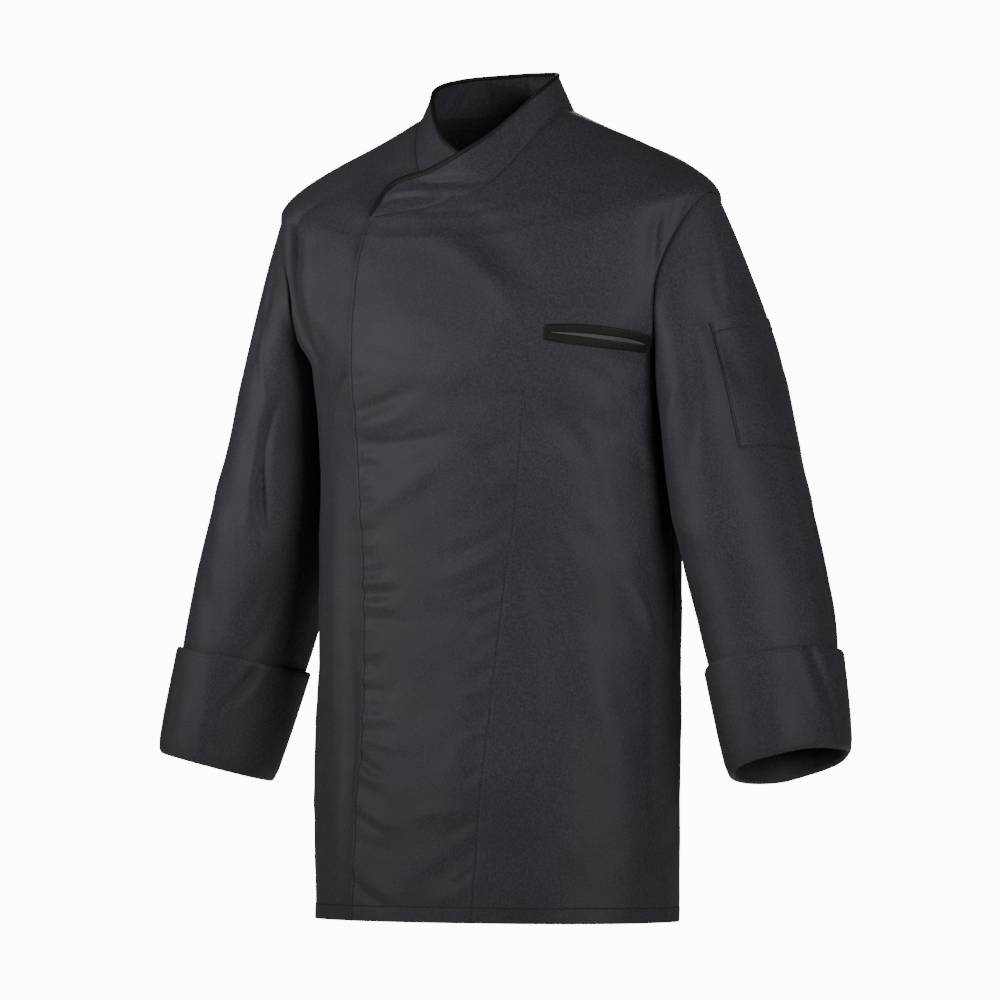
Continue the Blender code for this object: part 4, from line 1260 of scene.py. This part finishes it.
def start_material(name):
    material = bpy.data.materials.new(name)
    material.use_nodes = True
    tree = material.node_tree
    return material, tree, add_node(tree, "ShaderNodeTexCoord"), tree.nodes["Principled BSDF"]


def add_noise(tree, place, scale, detail, roughness=0.5):
    """Add an even noise, and give its value."""
    sockets = {"Vector": place, "Scale": scale, "Detail": detail, "Roughness": roughness}
    return add_node(tree, "ShaderNodeTexNoise", sockets).outputs["Fac"]


def add_range(tree, value, low, high, to_low=0.0, to_high=1.0):
    """Stretch a value's range from `low` and `high` to new ends."""
    sockets = {"Value": value, "From Min": low, "From Max": high, "To Min": to_low, "To Max": to_high}
    return add_node(tree, "ShaderNodeMapRange", sockets).outputs[0]


def add_tone(tree, factor, dark, light):
    """Mix two colours. Its colour sockets share their names with its number sockets."""
    node = add_node(tree, "ShaderNodeMix", {0: factor}, data_type="RGBA")
    sockets = [socket for socket in node.inputs if socket.type == "RGBA"]
    sockets[0].default_value = dark
    sockets[1].default_value = light
    return node.outputs[2]


def finish_shader(tree, shader, color, roughness, specular, height=None, strength=0.4, deep=0.0002):
    """Link a cloth's colour, roughness and relief to its shader."""
    tree.links.new(color, shader.inputs["Base Color"])
    if isinstance(roughness, bpy.types.NodeSocket):
        tree.links.new(roughness, shader.inputs["Roughness"])
    else:
        shader.inputs["Roughness"].default_value = roughness
    shader.inputs["Specular IOR Level"].default_value = specular
    if height is not None:
        sockets = {"Height": height, "Strength": strength, "Distance": deep}
        bump = add_node(tree, "ShaderNodeBump", sockets)
        tree.links.new(bump.outputs[0], shader.inputs["Normal"])


def twill_material(name):
    """Polyester and cotton twill, piece-dyed charcoal and calendered: soft dark grey, slight gloss.

    The real twill line is about 0.5 mm wide, too fine to show, so it is drawn 0.9 mm wide. The nap's
    grain is about 2 mm.
    """
    material, tree, place, shader = start_material(name)
    cloth = bpy.context.scene.jacket_cloth
    line_scale = 2 * math.pi / WAVE_TURN / TWILL_LINE
    weave = add_node(
        tree, "ShaderNodeTexWave",
        {"Vector": place.outputs["UV"], "Scale": line_scale, "Distortion": 0.6},
        wave_type="BANDS", bands_direction="DIAGONAL",
    )
    grain = add_noise(tree, place.outputs["Object"], scale=520.0, detail=2.5, roughness=0.62)
    mottle = add_noise(tree, place.outputs["Object"], scale=14.0, detail=3.0)
    speck = add_range(tree, grain, low=0.34, high=0.68)
    tone = add_tone(tree, speck, cloth.twill_dark, cloth.twill_light)
    worn = add_range(tree, mottle, low=0.3, high=0.7, to_low=0.86, to_high=1.12)
    fade = add_node(tree, "ShaderNodeVectorMath", {0: tone, "Scale": worn}, operation="SCALE")
    gloss = add_range(tree, grain, low=0.3, high=0.7, to_low=0.60, to_high=0.68)
    height = add_node(
        tree, "ShaderNodeMath", {0: weave.outputs["Fac"], 1: TWILL_RELIEF, 2: grain},
        operation="MULTIPLY_ADD",
    )
    finish_shader(
        tree, shader, fade.outputs[0], roughness=gloss, specular=0.38,
        height=height.outputs[0], strength=0.5, deep=0.0003,
    )
    shader.inputs["Sheen Weight"].default_value = 0.06
    shader.inputs["Sheen Roughness"].default_value = 0.5
    return material


def satin_material(name):
    """Polyester satin bias binding, warm black: smooth, with a soft gloss along its floats."""
    material, tree, place, shader = start_material(name)
    cloth = bpy.context.scene.jacket_cloth
    slant = add_node(
        tree, "ShaderNodeMapping",
        {"Vector": place.outputs["UV"], "Rotation": (0, 0, math.radians(45)), "Scale": (1.2, 0.12, 1.0)},
    )
    floats = add_noise(tree, slant.outputs[0], scale=1.0, detail=2.0)
    share = add_range(tree, floats, low=0.3, high=0.7)
    tone = add_tone(tree, share, cloth.satin_dark, cloth.satin_light)
    finish_shader(tree, shader, tone, roughness=0.6, specular=0.22, height=floats)
    return material


def pocketing_material(name):
    """Plain-woven cotton pocketing, mid grey: matt, with a fine uneven grain."""
    material, tree, place, shader = start_material(name)
    grain = add_noise(tree, place.outputs["Object"], scale=900.0, detail=3.0)
    tone = add_tone(tree, grain, linear("#4b4b4e"), linear("#626265"))
    finish_shader(tree, shader, tone, roughness=0.85, specular=0.25, height=grain)
    return material


def thread_material(name):
    """Spun polyester sewing thread, dyed to match the twill: a hairy yarn with a little gloss."""
    material, tree, place, shader = start_material(name)
    grain = add_noise(tree, place.outputs["Object"], scale=1500.0, detail=3.0)
    tone = add_tone(tree, grain, linear("#26252a"), linear("#38373e"))
    finish_shader(tree, shader, tone, roughness=0.6, specular=0.25, height=grain)
    return material


def floor_material(name):
    """Matt white emulsion on a smooth floor, with a faint roller grain."""
    material, tree, place, shader = start_material(name)
    grain = add_noise(tree, place.outputs["Object"], scale=60.0, detail=2.0)
    tone = add_tone(tree, grain, linear("#f2f2f0"), linear("#fafaf8"))
    finish_shader(tree, shader, tone, roughness=0.9, specular=0.5)
    return material


MATERIALS = {
    "polycotton_twill": twill_material,
    "satin_binding": satin_material,
    "cotton_pocketing": pocketing_material,
    "sewing_thread": thread_material,
    "matt_white_floor": floor_material,
}


def material_of(name):
    """Give one of the materials, made the first time it is asked for."""
    return bpy.data.materials.get(name) or MATERIALS[name](name)


# Pieces


def make_panel(name, columns, surface, flat, area):
    """Make one panel of the body as a thin closed wall."""
    wall = bpy.context.scene.jacket_cloth.twill_wall / MM
    paths = panel_paths()
    angles = columns(paths)
    levels = np.broadcast_to(paths[:, None], angles.shape)
    outer, inner = (inset(surface(angles, levels, out)) for out in (0.0, -wall))
    item = shell(name + "_cloth", outer, inner, material_of("polycotton_twill"))
    finish_cloth(
        item, name
    )


def sleeve_turns():
    return np.linspace(0, 360, 2 * ROWS_ARMHOLE, endpoint=False)


def make_sleeve(side):
    """Make one sleeve as a thin closed tube, from the armhole to just short of the cuff's lip.

    Over the shoulder its first ring has the wall square to the body, as the panel's edge has.
    """
    wall = bpy.context.scene.jacket_cloth.twill_wall / MM
    turns = sleeve_turns()
    paths = np.concatenate([SLEEVE_TOP_ROWS, np.linspace(*SLEEVE_SPAN, SLEEVE_ROWS)])
    grid_turns, grid_paths = np.meshgrid(turns, paths)
    press = groove(grid_paths * SLEEVE_LENGTH, CAP_LINE)
    outer = sleeve_point(side, grid_turns, grid_paths, press)
    normals = tube_normals(outer)
    angle, level = armhole_point(turns)
    body = torso_point(angle, level, 1.0) - torso_point(angle, level)
    share = blend(*CAP_FACING, np.cos(np.radians(turns)))[:, None]
    normals[0] = unit(normals[0] * (1 - share) + body * share)
    inner = outer - normals * wall
    item = shell(
        side + "_sleeve_cloth", outer, inner, material_of("polycotton_twill"),
        closed=True, mirrored=side == "right",
    )
    finish_cloth(
        item, side + "_sleeve",
    )


def section_rows(table, places):
    """Spread a section's rows evenly, straight from one to the next, and give each of its columns."""
    index = np.arange(len(table))
    return [np.interp(places, index, column) for column in zip(*table)]


def make_cuff(side):
    """Make one turned-back cuff, whose lip rolls in round the sleeve's end."""
    half = bpy.context.scene.jacket_cloth.cuff_wall / MM / 2
    edge = np.linspace(0, 1, CUFF_EDGE_ROWS)
    rest = np.linspace(1, len(CUFF_ROLL) - 1, CUFF_ROWS)[1:]
    at, out, out_share, down_share = section_rows(CUFF_ROLL, np.concatenate([edge, rest]))
    grids = []
    for shift in (half, -half):
        turn, row_at = np.meshgrid(sleeve_turns(), at + shift * down_share / SLEEVE_LENGTH)
        row_out = np.broadcast_to((out + shift * out_share)[:, None], turn.shape)
        sewn = groove((row_at - CUFF_TOP) * SLEEVE_LENGTH, CUFF_LINE) * np.sign(row_out)
        drawn = cuff_top_draw(side, turn, row_at) * (row_out > 0)
        risen = row_at + cuff_wander(side, turn) - drawn
        grids.append(sleeve_point(side, turn, risen, row_out + sewn, cuff=True))
    item = shell(
        side + "_cuff_cloth", grids[0], grids[1], material_of("polycotton_twill"),
        closed=True, mirrored=side == "right",
    )
    finish_cloth(
        item, side + "_cuff",
    )


def join_halves(half):
    """Lay out a whole band from the over end round the back to the under end."""
    return np.concatenate([half(True), half(False)[:, -2::-1]], axis=1)


def collar_face(seam_gap, out):
    """Lay out one face of the collar's band."""
    shares = np.linspace(0, 1, COLLAR_ROWS)

    def half(over):
        turns, grid_shares = np.meshgrid(collar_turns(over), shares)
        return collar_surface(turns, over, seam_gap, grid_shares, out)

    return join_halves(half)


def make_collar():
    """Make the stand collar as one thin closed band."""
    wall = bpy.context.scene.jacket_cloth.twill_wall / MM
    outer = collar_face(0.0, COLLAR_OUT)
    inner = collar_face(COLLAR_INNER_DROP, COLLAR_OUT - wall)
    item = shell("collar_cloth", outer, inner, material_of("polycotton_twill"))
    finish_cloth(
        item, "collar",
    )


def binding_face(shift):
    """Lay out one face of the binding, moved `shift` off the middle of its wall."""
    places = np.linspace(0, len(BINDING_ROLL) - 1, BINDING_ROWS)
    share, down, out = (column[:, None] for column in section_rows(BINDING_ROLL, places))

    def half(over):
        turns = collar_turns(over)
        ones = np.ones_like(turns)
        reach = share * read(BRIM, "binding", turns) + down * (1 - share)
        slope = np.gradient(np.stack([reach, np.broadcast_to(out, reach.shape)]), axis=1)
        side = unit(np.moveaxis(slope, 0, -1))
        ripple = BINDING_RIPPLE * np.sin(collar_reach(turns) * RIPPLE_TURN) * np.sin(share * math.pi)
        fall = -unit(collar_height(turns, over)) * (reach + shift * side[..., 1])[..., None]
        lift = (out - shift * side[..., 0] + ripple)[..., None]
        return collar_point(turns, over, ones) + fall + collar_normal(turns, over, ones) * lift

    return join_halves(half)


def make_binding():
    """Make the satin binding that is folded over the collar's top edge."""
    outer, inner = binding_face(BINDING_WALL / 2), binding_face(-BINDING_WALL / 2)
    item = shell("collar_piping_satin", outer, inner, material_of("satin_binding"), sharp=70)
    finish_cloth(
        item, "collar_piping",
    )


def rounded(part, power):
    """Rise from 0 at one edge to 1 in the middle and fall again, squarer with a higher power."""
    return np.sqrt(np.clip(1 - (2 * part - 1) ** power, 0, 1))


def make_strip(name, rows, lay, material, slot, flat, area=None):
    """Lay one strip of the breast pocket on the over front, crowned along its middle."""
    part, share = np.meshgrid(np.linspace(0, 1, STRIP_COLUMNS), np.linspace(0, 1, STRIP_ROWS))
    edge = {key: read(rows, key, part) for key in Strip._fields[1:]}
    angle = mix(edge["low_angle"], edge["high_angle"], share)
    path = mix(edge["low"], edge["high"], share)
    ripple = 1 + CROWN_RIPPLE * np.sin(part * CROWN_RIPPLE_TURN)
    crown = lay.crown * rounded(share, CROWN_POWER) * ripple
    swell = crown * rounded(part, CROWN_END_POWER)
    base = over_lift(angle) + lay.lift
    outer = torso_point(angle, path, base + lay.wall + swell, OVER_FRONT_FOLDS)
    inner = torso_point(angle, path, base + swell * CROWN_INNER_SHARE, OVER_FRONT_FOLDS)
    item = shell(name + "_cloth", outer, inner, material_of(material), sharp=60)
    finish_cloth(
        item, name
    )


def pocket_relief(turn, path):
    """Add up what sewing does to the sleeve pocket, by its distances to its own edges."""
    top = (path - POCKET_PATH_TOP) * SLEEVE_LENGTH
    bottom = (POCKET_PATH_BOTTOM - path) * SLEEVE_LENGTH
    sides = np.minimum(POCKET_TURN_FROM - turn, turn - POCKET_TURN_TO) * TURN_TO_MM
    hem = doubled(top, POCKET_HEM_DOUBLE) + groove(top, POCKET_HEM_LINE)
    sewn = groove(sides, POCKET_LINE) + groove(bottom, POCKET_LINE)
    gape = doubled(top, POCKET_GAPE) * blend(*POCKET_MOUTH, sides)
    return hem + sewn + gape


def make_sleeve_pocket():
    """Make the patch pocket on the left sleeve, with its turned hem."""
    gaps = np.array(POCKET_GAPS)
    near = gaps / TURN_TO_MM
    middle = np.linspace(POCKET_TURN_TO + near[-1], POCKET_TURN_FROM - near[-1], POCKET_COLUMNS)
    turns = np.concatenate([POCKET_TURN_TO + near, middle[1:-1], POCKET_TURN_FROM - near[::-1]])
    top = POCKET_PATH_TOP + np.array(POCKET_HEM_GAPS) / SLEEVE_LENGTH
    low = POCKET_PATH_BOTTOM - gaps[::-1] / SLEEVE_LENGTH
    paths = np.concatenate([top, np.linspace(top[-1], low[0], POCKET_ROWS)[1:-1], low])
    turn, path = np.meshgrid(turns, paths)
    relief = pocket_relief(turn, path)
    outer = sleeve_point("left", turn, path, POCKET_OUTER + relief)
    inner = sleeve_point("left", turn, path, POCKET_INNER + np.maximum(relief, 0) * POCKET_INNER_SHARE)
    item = shell("sleeve_pocket_cloth", outer, inner, material_of("polycotton_twill"))
    finish_cloth(
        item, "sleeve_pocket",
    )


# Sewing


def stitch_tree():
    """Build the tree that sews a row of stitches along every line of a mesh."""
    tree = bpy.data.node_groups.new("row_of_stitches", "GeometryNodeTree")
    face = tree.interface
    face.new_socket(name="Geometry", in_out="INPUT", socket_type="NodeSocketGeometry")
    for label in ("Pitch", "Length", "Width"):
        face.new_socket(name=label, in_out="INPUT", socket_type="NodeSocketFloat")
    face.new_socket(name="Thread", in_out="INPUT", socket_type="NodeSocketMaterial")
    face.new_socket(name="Geometry", in_out="OUTPUT", socket_type="NodeSocketGeometry")
    given = add_node(tree, "NodeGroupInput")
    result = add_node(tree, "NodeGroupOutput")
    line = add_node(tree, "GeometryNodeMeshToCurve", {"Mesh": given.outputs["Geometry"]})
    spaced = add_node(
        tree, "GeometryNodeResampleCurve",
        {"Curve": line.outputs["Curve"], "Length": given.outputs["Pitch"]}, mode="LENGTH",
    )
    seed = add_node(tree, "GeometryNodeMeshUVSphere", {"Segments": 6, "Rings": 4, "Radius": 0.5})
    size = add_node(
        tree, "ShaderNodeCombineXYZ",
        {"X": given.outputs["Length"], "Y": given.outputs["Width"], "Z": given.outputs["Width"]},
    )
    stitch = add_node(
        tree, "GeometryNodeTransform", {"Geometry": seed.outputs["Mesh"], "Scale": size.outputs[0]}
    )
    tangent = add_node(tree, "GeometryNodeInputTangent")
    turned = add_node(
        tree, "FunctionNodeAlignRotationToVector", {"Vector": tangent.outputs[0]}, axis="X"
    )
    placed = add_node(
        tree, "GeometryNodeInstanceOnPoints",
        {
            "Points": spaced.outputs["Curve"],
            "Instance": stitch.outputs["Geometry"],
            "Rotation": turned.outputs["Rotation"],
        },
    )
    real = add_node(tree, "GeometryNodeRealizeInstances", {"Geometry": placed.outputs["Instances"]})
    finished = add_node(
        tree, "GeometryNodeSetMaterial",
        {"Geometry": real.outputs["Geometry"], "Material": given.outputs["Thread"]},
    )
    tree.links.new(finished.outputs["Geometry"], result.inputs[0])
    return tree


def sew(name, lines, mirrored=False):
    """Sew rows of stitches along lines of points, and keep them as one plain mesh."""
    sewing = bpy.context.scene.jacket_sewing
    points, edges = [], []
    for line in lines:
        start = len(points)
        points.extend((line * MM * np.array((-1.0 if mirrored else 1.0, 1.0, 1.0))).tolist())
        edges.extend((start + k, start + k + 1) for k in range(len(line) - 1))
    mesh = bpy.data.meshes.new(name + "_lines")
    mesh.from_pydata(points, edges, [])
    guide = add_object(name + "_lines", mesh)
    tree = bpy.data.node_groups.get("row_of_stitches") or stitch_tree()
    modifier = guide.modifiers.new("stitches", "NODES")
    modifier.node_group = tree
    inputs = {
        "Pitch": sewing.stitch_pitch,
        "Length": sewing.stitch_length,
        "Width": sewing.thread_width,
        "Thread": material_of("sewing_thread"),
    }
    for socket in tree.interface.items_tree:
        if socket.in_out == "INPUT" and socket.name in inputs:
            modifier[socket.identifier] = inputs[socket.name]
    graph = bpy.context.evaluated_depsgraph_get()
    result = bpy.data.meshes.new_from_object(guide.evaluated_get(graph))
    bpy.data.objects.remove(guide)
    result.name = name
    result.shade_smooth()
    item = add_object(name, result)
    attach(item, "root")


def sew_body():
    """Sew the front edge, the lap panel's seam and the hem."""
    edge_paths = np.linspace(*EDGE_SEWN, EDGE_POINTS)
    edge = -lap_angle(edge_paths) + EDGE_LINE.at * MM_TO_ANGLE
    seam_paths = np.linspace(*PANEL_SEWN, PANEL_POINTS)
    seam = read(PANEL_SEAM, "angle", seam_paths) - PANEL_STITCH_ASIDE * MM_TO_ANGLE
    lines = [
        front_over_surface(edge, edge_paths, STITCH_LIFT),
        front_over_surface(seam, seam_paths, STITCH_LIFT),
    ]
    hems = (
        (front_over_surface, OVER_HEM_SEWN),
        (front_under_surface, UNDER_HEM_SEWN),
        (back_surface, BACK_HEM_SEWN),
    )
    for surface, ends in hems:
        angles = np.linspace(*ends, HEM_POINTS)
        lines.append(surface(angles, np.full(HEM_POINTS, HEM_LINE.at), STITCH_LIFT))
    sew("body_stitching", lines)


def sew_collar():
    """Sew the collar just above its seam."""
    lines = []
    for over, end in ((True, COLLAR_END_TURN), (False, UNDER_END_TURN)):
        turns = collar_turns(over)
        turns = turns[turns > end + 1]
        rise = COLLAR_LINE.at / np.linalg.norm(collar_height(turns, over), axis=-1)
        lines.append(collar_point(turns, over, rise))
    sew("collar_stitching", lines)


def sew_cuff(side):
    """Sew round the cuff, just below its top edge."""
    turns = np.linspace(0, 360, CUFF_POINTS)
    path = CUFF_TOP + CUFF_LINE.at / SLEEVE_LENGTH
    path = path - cuff_top_draw(side, turns, path) + cuff_wander(side, turns)
    half = bpy.context.scene.jacket_cloth.cuff_wall / MM / 2
    line = sleeve_point(side, turns, path, CUFF_STITCH_OUT + half - STITCH_LIFT, cuff=True)
    sew(side + "_cuff_stitching", [line], mirrored=side == "right")


def sew_pocket():
    """Sew the sleeve pocket down its sides, along its bottom and across its hem."""
    side_gap = POCKET_LINE.at / TURN_TO_MM
    left, right = POCKET_TURN_FROM - side_gap, POCKET_TURN_TO + side_gap
    low = POCKET_PATH_BOTTOM - POCKET_LINE.at / SLEEVE_LENGTH
    hem = POCKET_PATH_TOP + POCKET_HEM_LINE.at / SLEEVE_LENGTH
    down = np.linspace(POCKET_SEWN_FROM, low, POCKET_SIDE_POINTS)
    across = np.linspace(left, right, POCKET_END_POINTS)
    lines = []
    for turn, path in ((left, down), (across, low), (right, down), (across, hem)):
        turn, path = np.broadcast_arrays(turn, path)
        lines.append(sleeve_point("left", turn, path, POCKET_STITCH_OUT + pocket_relief(turn, path)))
    sew("sleeve_pocket_stitching", lines)


# Studio


def aim(item, target):
    item.rotation_euler = (Vector(target) - item.location).to_track_quat("-Z", "Y").to_euler()


def studio_world():
    """Make the white walls."""
    world = bpy.data.worlds.new("white_studio")
    world.use_nodes = True
    tree = world.node_tree
    tree.nodes.clear()
    sight = add_node(tree, "ShaderNodeLightPath")
    glow, walls = (
        add_node(tree, "ShaderNodeBackground", {"Color": (1, 1, 1, 1), "Strength": strength}).outputs[0]
        for strength in (WALLS_GLOW, WALLS_SEEN)
    )
    seen = sight.outputs["Is Camera Ray"]
    both = add_node(tree, "ShaderNodeMixShader", {0: seen, 1: glow, 2: walls})
    add_node(tree, "ShaderNodeOutputWorld", {"Surface": both.outputs[0]})
    return world


def add_lamp(lamp):
    light = bpy.data.lights.new(lamp.name, "AREA")
    light.shape = "RECTANGLE"
    light.size, light.size_y = lamp.size
    light.energy = lamp.power
    light.color = lamp.color
    light.spread = math.radians(lamp.spread)
    item = add_object(lamp.name, light)
    item.location = lamp.place
    item.visible_camera = False
    aim(item, lamp.target)
    return item


def make_camera(studio):
    """Stand the camera round to the wearer's left and aim it at the jacket."""
    turn, rise = studio.view_turn, studio.view_rise
    level = math.cos(rise)
    way = Vector((math.sin(turn) * level, -math.cos(turn) * level, math.sin(rise)))
    camera = bpy.data.cameras.new("camera")
    camera.lens = studio.lens
    camera.sensor_width = SENSOR_WIDTH
    item = add_object("camera", camera)
    item.location = Vector(studio.look_at) + way * studio.camera_distance
    aim(item, studio.look_at)
    bpy.context.scene.camera = item


def make_floor(studio):
    """Lay the pale floor."""
    side = studio.floor_size / 2
    z = studio.floor_height
    corners = [(-side, -side, z), (side, -side, z), (side, side, z), (-side, side, z)]
    mesh = bpy.data.meshes.new("floor")
    mesh.from_pydata(corners, [], [(0, 1, 2, 3)])
    mesh.materials.append(material_of("matt_white_floor"))
    floor = add_object("floor", mesh)
    return floor


def light_floor(floor):
    """Keep the floor pale with a lamp of its own, which lights nothing else."""
    floor.visible_diffuse = False
    floor_only = bpy.data.collections.new("floor_only")
    floor_only.objects.link(floor)
    add_lamp(FLOOR_LAMP).light_linking.receiver_collection = floor_only


# Settings, operators and panel


def number(name, description, default, low, high, **kind):
    return bpy.props.FloatProperty(
        name=name, description=description, default=default, min=low, max=high, **kind
    )


def colour(name, description, code):
    return bpy.props.FloatVectorProperty(
        name=name, description=description, default=linear(code), size=4, min=0, max=1,
        subtype="COLOR",
    )


class JacketClothSettings(bpy.types.PropertyGroup):
    twill_wall: number(
        "Twill wall", "Thickness of the body and sleeve cloth", 0.0018, 0.0008, 0.003, unit="LENGTH"
    )
    cuff_wall: number(
        "Cuff wall", "Thickness of the doubled cuff", 0.002, 0.001, 0.003, unit="LENGTH"
    )
    twill_dark: colour("Twill, dark yarn", "The darker of the twill's two yarns", "#28272c")
    twill_light: colour("Twill, light yarn", "The lighter of the twill's two yarns", "#3e3d45")
    satin_dark: colour("Satin, dark", "The binding's darker floats", "#141311")
    satin_light: colour("Satin, light", "The binding's lighter floats", "#272522")


class JacketSewingSettings(bpy.types.PropertyGroup):
    stitch_pitch: number(
        "Stitch pitch", "From one stitch to the next", 0.0034, 0.001, 0.01, unit="LENGTH"
    )
    stitch_length: number(
        "Stitch length", "How much of each stitch lies on top", 0.0028, 0.001, 0.01, unit="LENGTH"
    )
    thread_width: number(
        "Thread width", "Width of the sewing thread as it is drawn", 0.0007, 0.0002, 0.002,
        unit="LENGTH",
    )


class JacketStudioSettings(bpy.types.PropertyGroup):
    view_turn: number(
        "View turn", "How far the camera stands round to the wearer's left",
        math.radians(30), -math.pi, math.pi, subtype="ANGLE",
    )
    view_rise: number(
        "View rise", "How far the camera stands above the middle",
        math.radians(-2), -math.pi / 2, math.pi / 2, subtype="ANGLE",
    )
    camera_distance: number(
        "Camera distance", "From the camera to the jacket's middle", 6.0, 1, 20, unit="LENGTH"
    )
    lens: number("Lens", "Focal length in millimetres", 220, 20, 400)
    look_at: bpy.props.FloatVectorProperty(
        name="Look at", description="The point at the middle of the view",
        default=(0.002, 0.0, -0.379), size=3, subtype="TRANSLATION",
    )
    floor_height: number(
        "Floor height", "The floor under the jacket at its worn height", -1.45, -3, 0, unit="LENGTH"
    )
    floor_size: number(
        "Floor size", "Length of the square floor's side", 9.0, 2, 40, unit="LENGTH"
    )


class JACKET_OT_body(bpy.types.Operator):
    """Make the back and both fronts"""

    bl_idname = "jacket.body"
    bl_label = "Body"

    def execute(self, context):
        front = {"flat": (0.42, 0.8), "area": 0.28}
        make_panel("back", back_columns, back_surface, flat=(0.56, 0.83), area=0.42)
        make_panel("left_front", over_columns, front_over_surface, **front)
        make_panel("right_front", under_columns, front_under_surface, **front)
        return {"FINISHED"}


class JACKET_OT_sleeves(bpy.types.Operator):
    """Make both sleeves"""

    bl_idname = "jacket.sleeves"
    bl_label = "Sleeves"

    def execute(self, context):
        for side in SIDES:
            make_sleeve(side)
        return {"FINISHED"}


class JACKET_OT_cuffs(bpy.types.Operator):
    """Make both turned-back cuffs"""

    bl_idname = "jacket.cuffs"
    bl_label = "Cuffs"

    def execute(self, context):
        for side in SIDES:
            make_cuff(side)
        return {"FINISHED"}


class JACKET_OT_collar(bpy.types.Operator):
    """Make the stand collar and its satin binding"""

    bl_idname = "jacket.collar"
    bl_label = "Collar and binding"

    def execute(self, context):
        make_collar()
        make_binding()
        return {"FINISHED"}


class JACKET_OT_breast_pocket(bpy.types.Operator):
    """Make the breast pocket's two satin welts and what shows of its bag"""

    bl_idname = "jacket.breast_pocket"
    bl_label = "Breast pocket"

    def execute(self, context):
        welt = {"material": "satin_binding", "slot": "satin", "flat": (0.112, 0.011)}
        make_strip("breast_pocket_lower_welt", LOWER_WELT, WELT_LAY, **welt)
        make_strip("breast_pocket_upper_welt", UPPER_WELT, WELT_LAY, **welt)
        bag = {"material": "cotton_pocketing", "slot": "pocketing", "flat": (0.1, 0.01), "area": 0.0006}
        make_strip("breast_pocket_bag", POCKET_BAG, BAG_LAY, **bag)
        return {"FINISHED"}


class JACKET_OT_sleeve_pocket(bpy.types.Operator):
    """Make the patch pocket on the left sleeve"""

    bl_idname = "jacket.sleeve_pocket"
    bl_label = "Sleeve pocket"

    def execute(self, context):
        make_sleeve_pocket()
        return {"FINISHED"}


class JACKET_OT_stitching(bpy.types.Operator):
    """Sew every visible row of stitches"""

    bl_idname = "jacket.stitching"
    bl_label = "Stitching"

    def execute(self, context):
        sew_body()
        sew_collar()
        for side in SIDES:
            sew_cuff(side)
        sew_pocket()
        return {"FINISHED"}


class JACKET_OT_studio(bpy.types.Operator):
    """Set up the pale floor, the soft light and the camera"""

    bl_idname = "jacket.studio"
    bl_label = "Studio"

    def execute(self, context):
        studio = context.scene.jacket_studio
        light_floor(make_floor(studio))
        make_camera(studio)
        for lamp in LAMPS:
            add_lamp(lamp)
        context.scene.world = studio_world()
        return {"FINISHED"}


class JACKET_PT_pieces(bpy.types.Panel):
    """List the jacket's pieces and settings"""

    bl_label = "Chef Jacket"
    bl_idname = "JACKET_PT_pieces"
    bl_space_type = "VIEW_3D"
    bl_region_type = "UI"
    bl_category = "Jacket"

    def draw(self, context):
        for group in SETTINGS:
            box = self.layout.box()
            settings = getattr(context.scene, group)
            for name in settings.__annotations__:
                box.prop(settings, name)
        for operator in OPERATORS:
            self.layout.operator(operator.bl_idname)


SETTINGS = {
    "jacket_cloth": JacketClothSettings,
    "jacket_sewing": JacketSewingSettings,
    "jacket_studio": JacketStudioSettings,
}
OPERATORS = (
    JACKET_OT_body,
    JACKET_OT_sleeves,
    JACKET_OT_cuffs,
    JACKET_OT_collar,
    JACKET_OT_breast_pocket,
    JACKET_OT_sleeve_pocket,
    JACKET_OT_stitching,
    JACKET_OT_studio,
)


def register():
    for item in (*SETTINGS.values(), *OPERATORS, JACKET_PT_pieces):
        bpy.utils.register_class(item)
    for name, group in SETTINGS.items():
        setattr(bpy.types.Scene, name, bpy.props.PointerProperty(type=group))


def unregister():
    for name in SETTINGS:
        delattr(bpy.types.Scene, name)
    for item in (JACKET_PT_pieces, *reversed(OPERATORS), *reversed(SETTINGS.values())):
        bpy.utils.unregister_class(item)


def main():
    register()
    bpy.ops.jacket.body()
    bpy.ops.jacket.sleeves()
    bpy.ops.jacket.cuffs()
    bpy.ops.jacket.collar()
    bpy.ops.jacket.breast_pocket()
    bpy.ops.jacket.sleeve_pocket()
    bpy.ops.jacket.stitching()
    bpy.ops.jacket.studio()


if __name__ == "__main__":
    main()
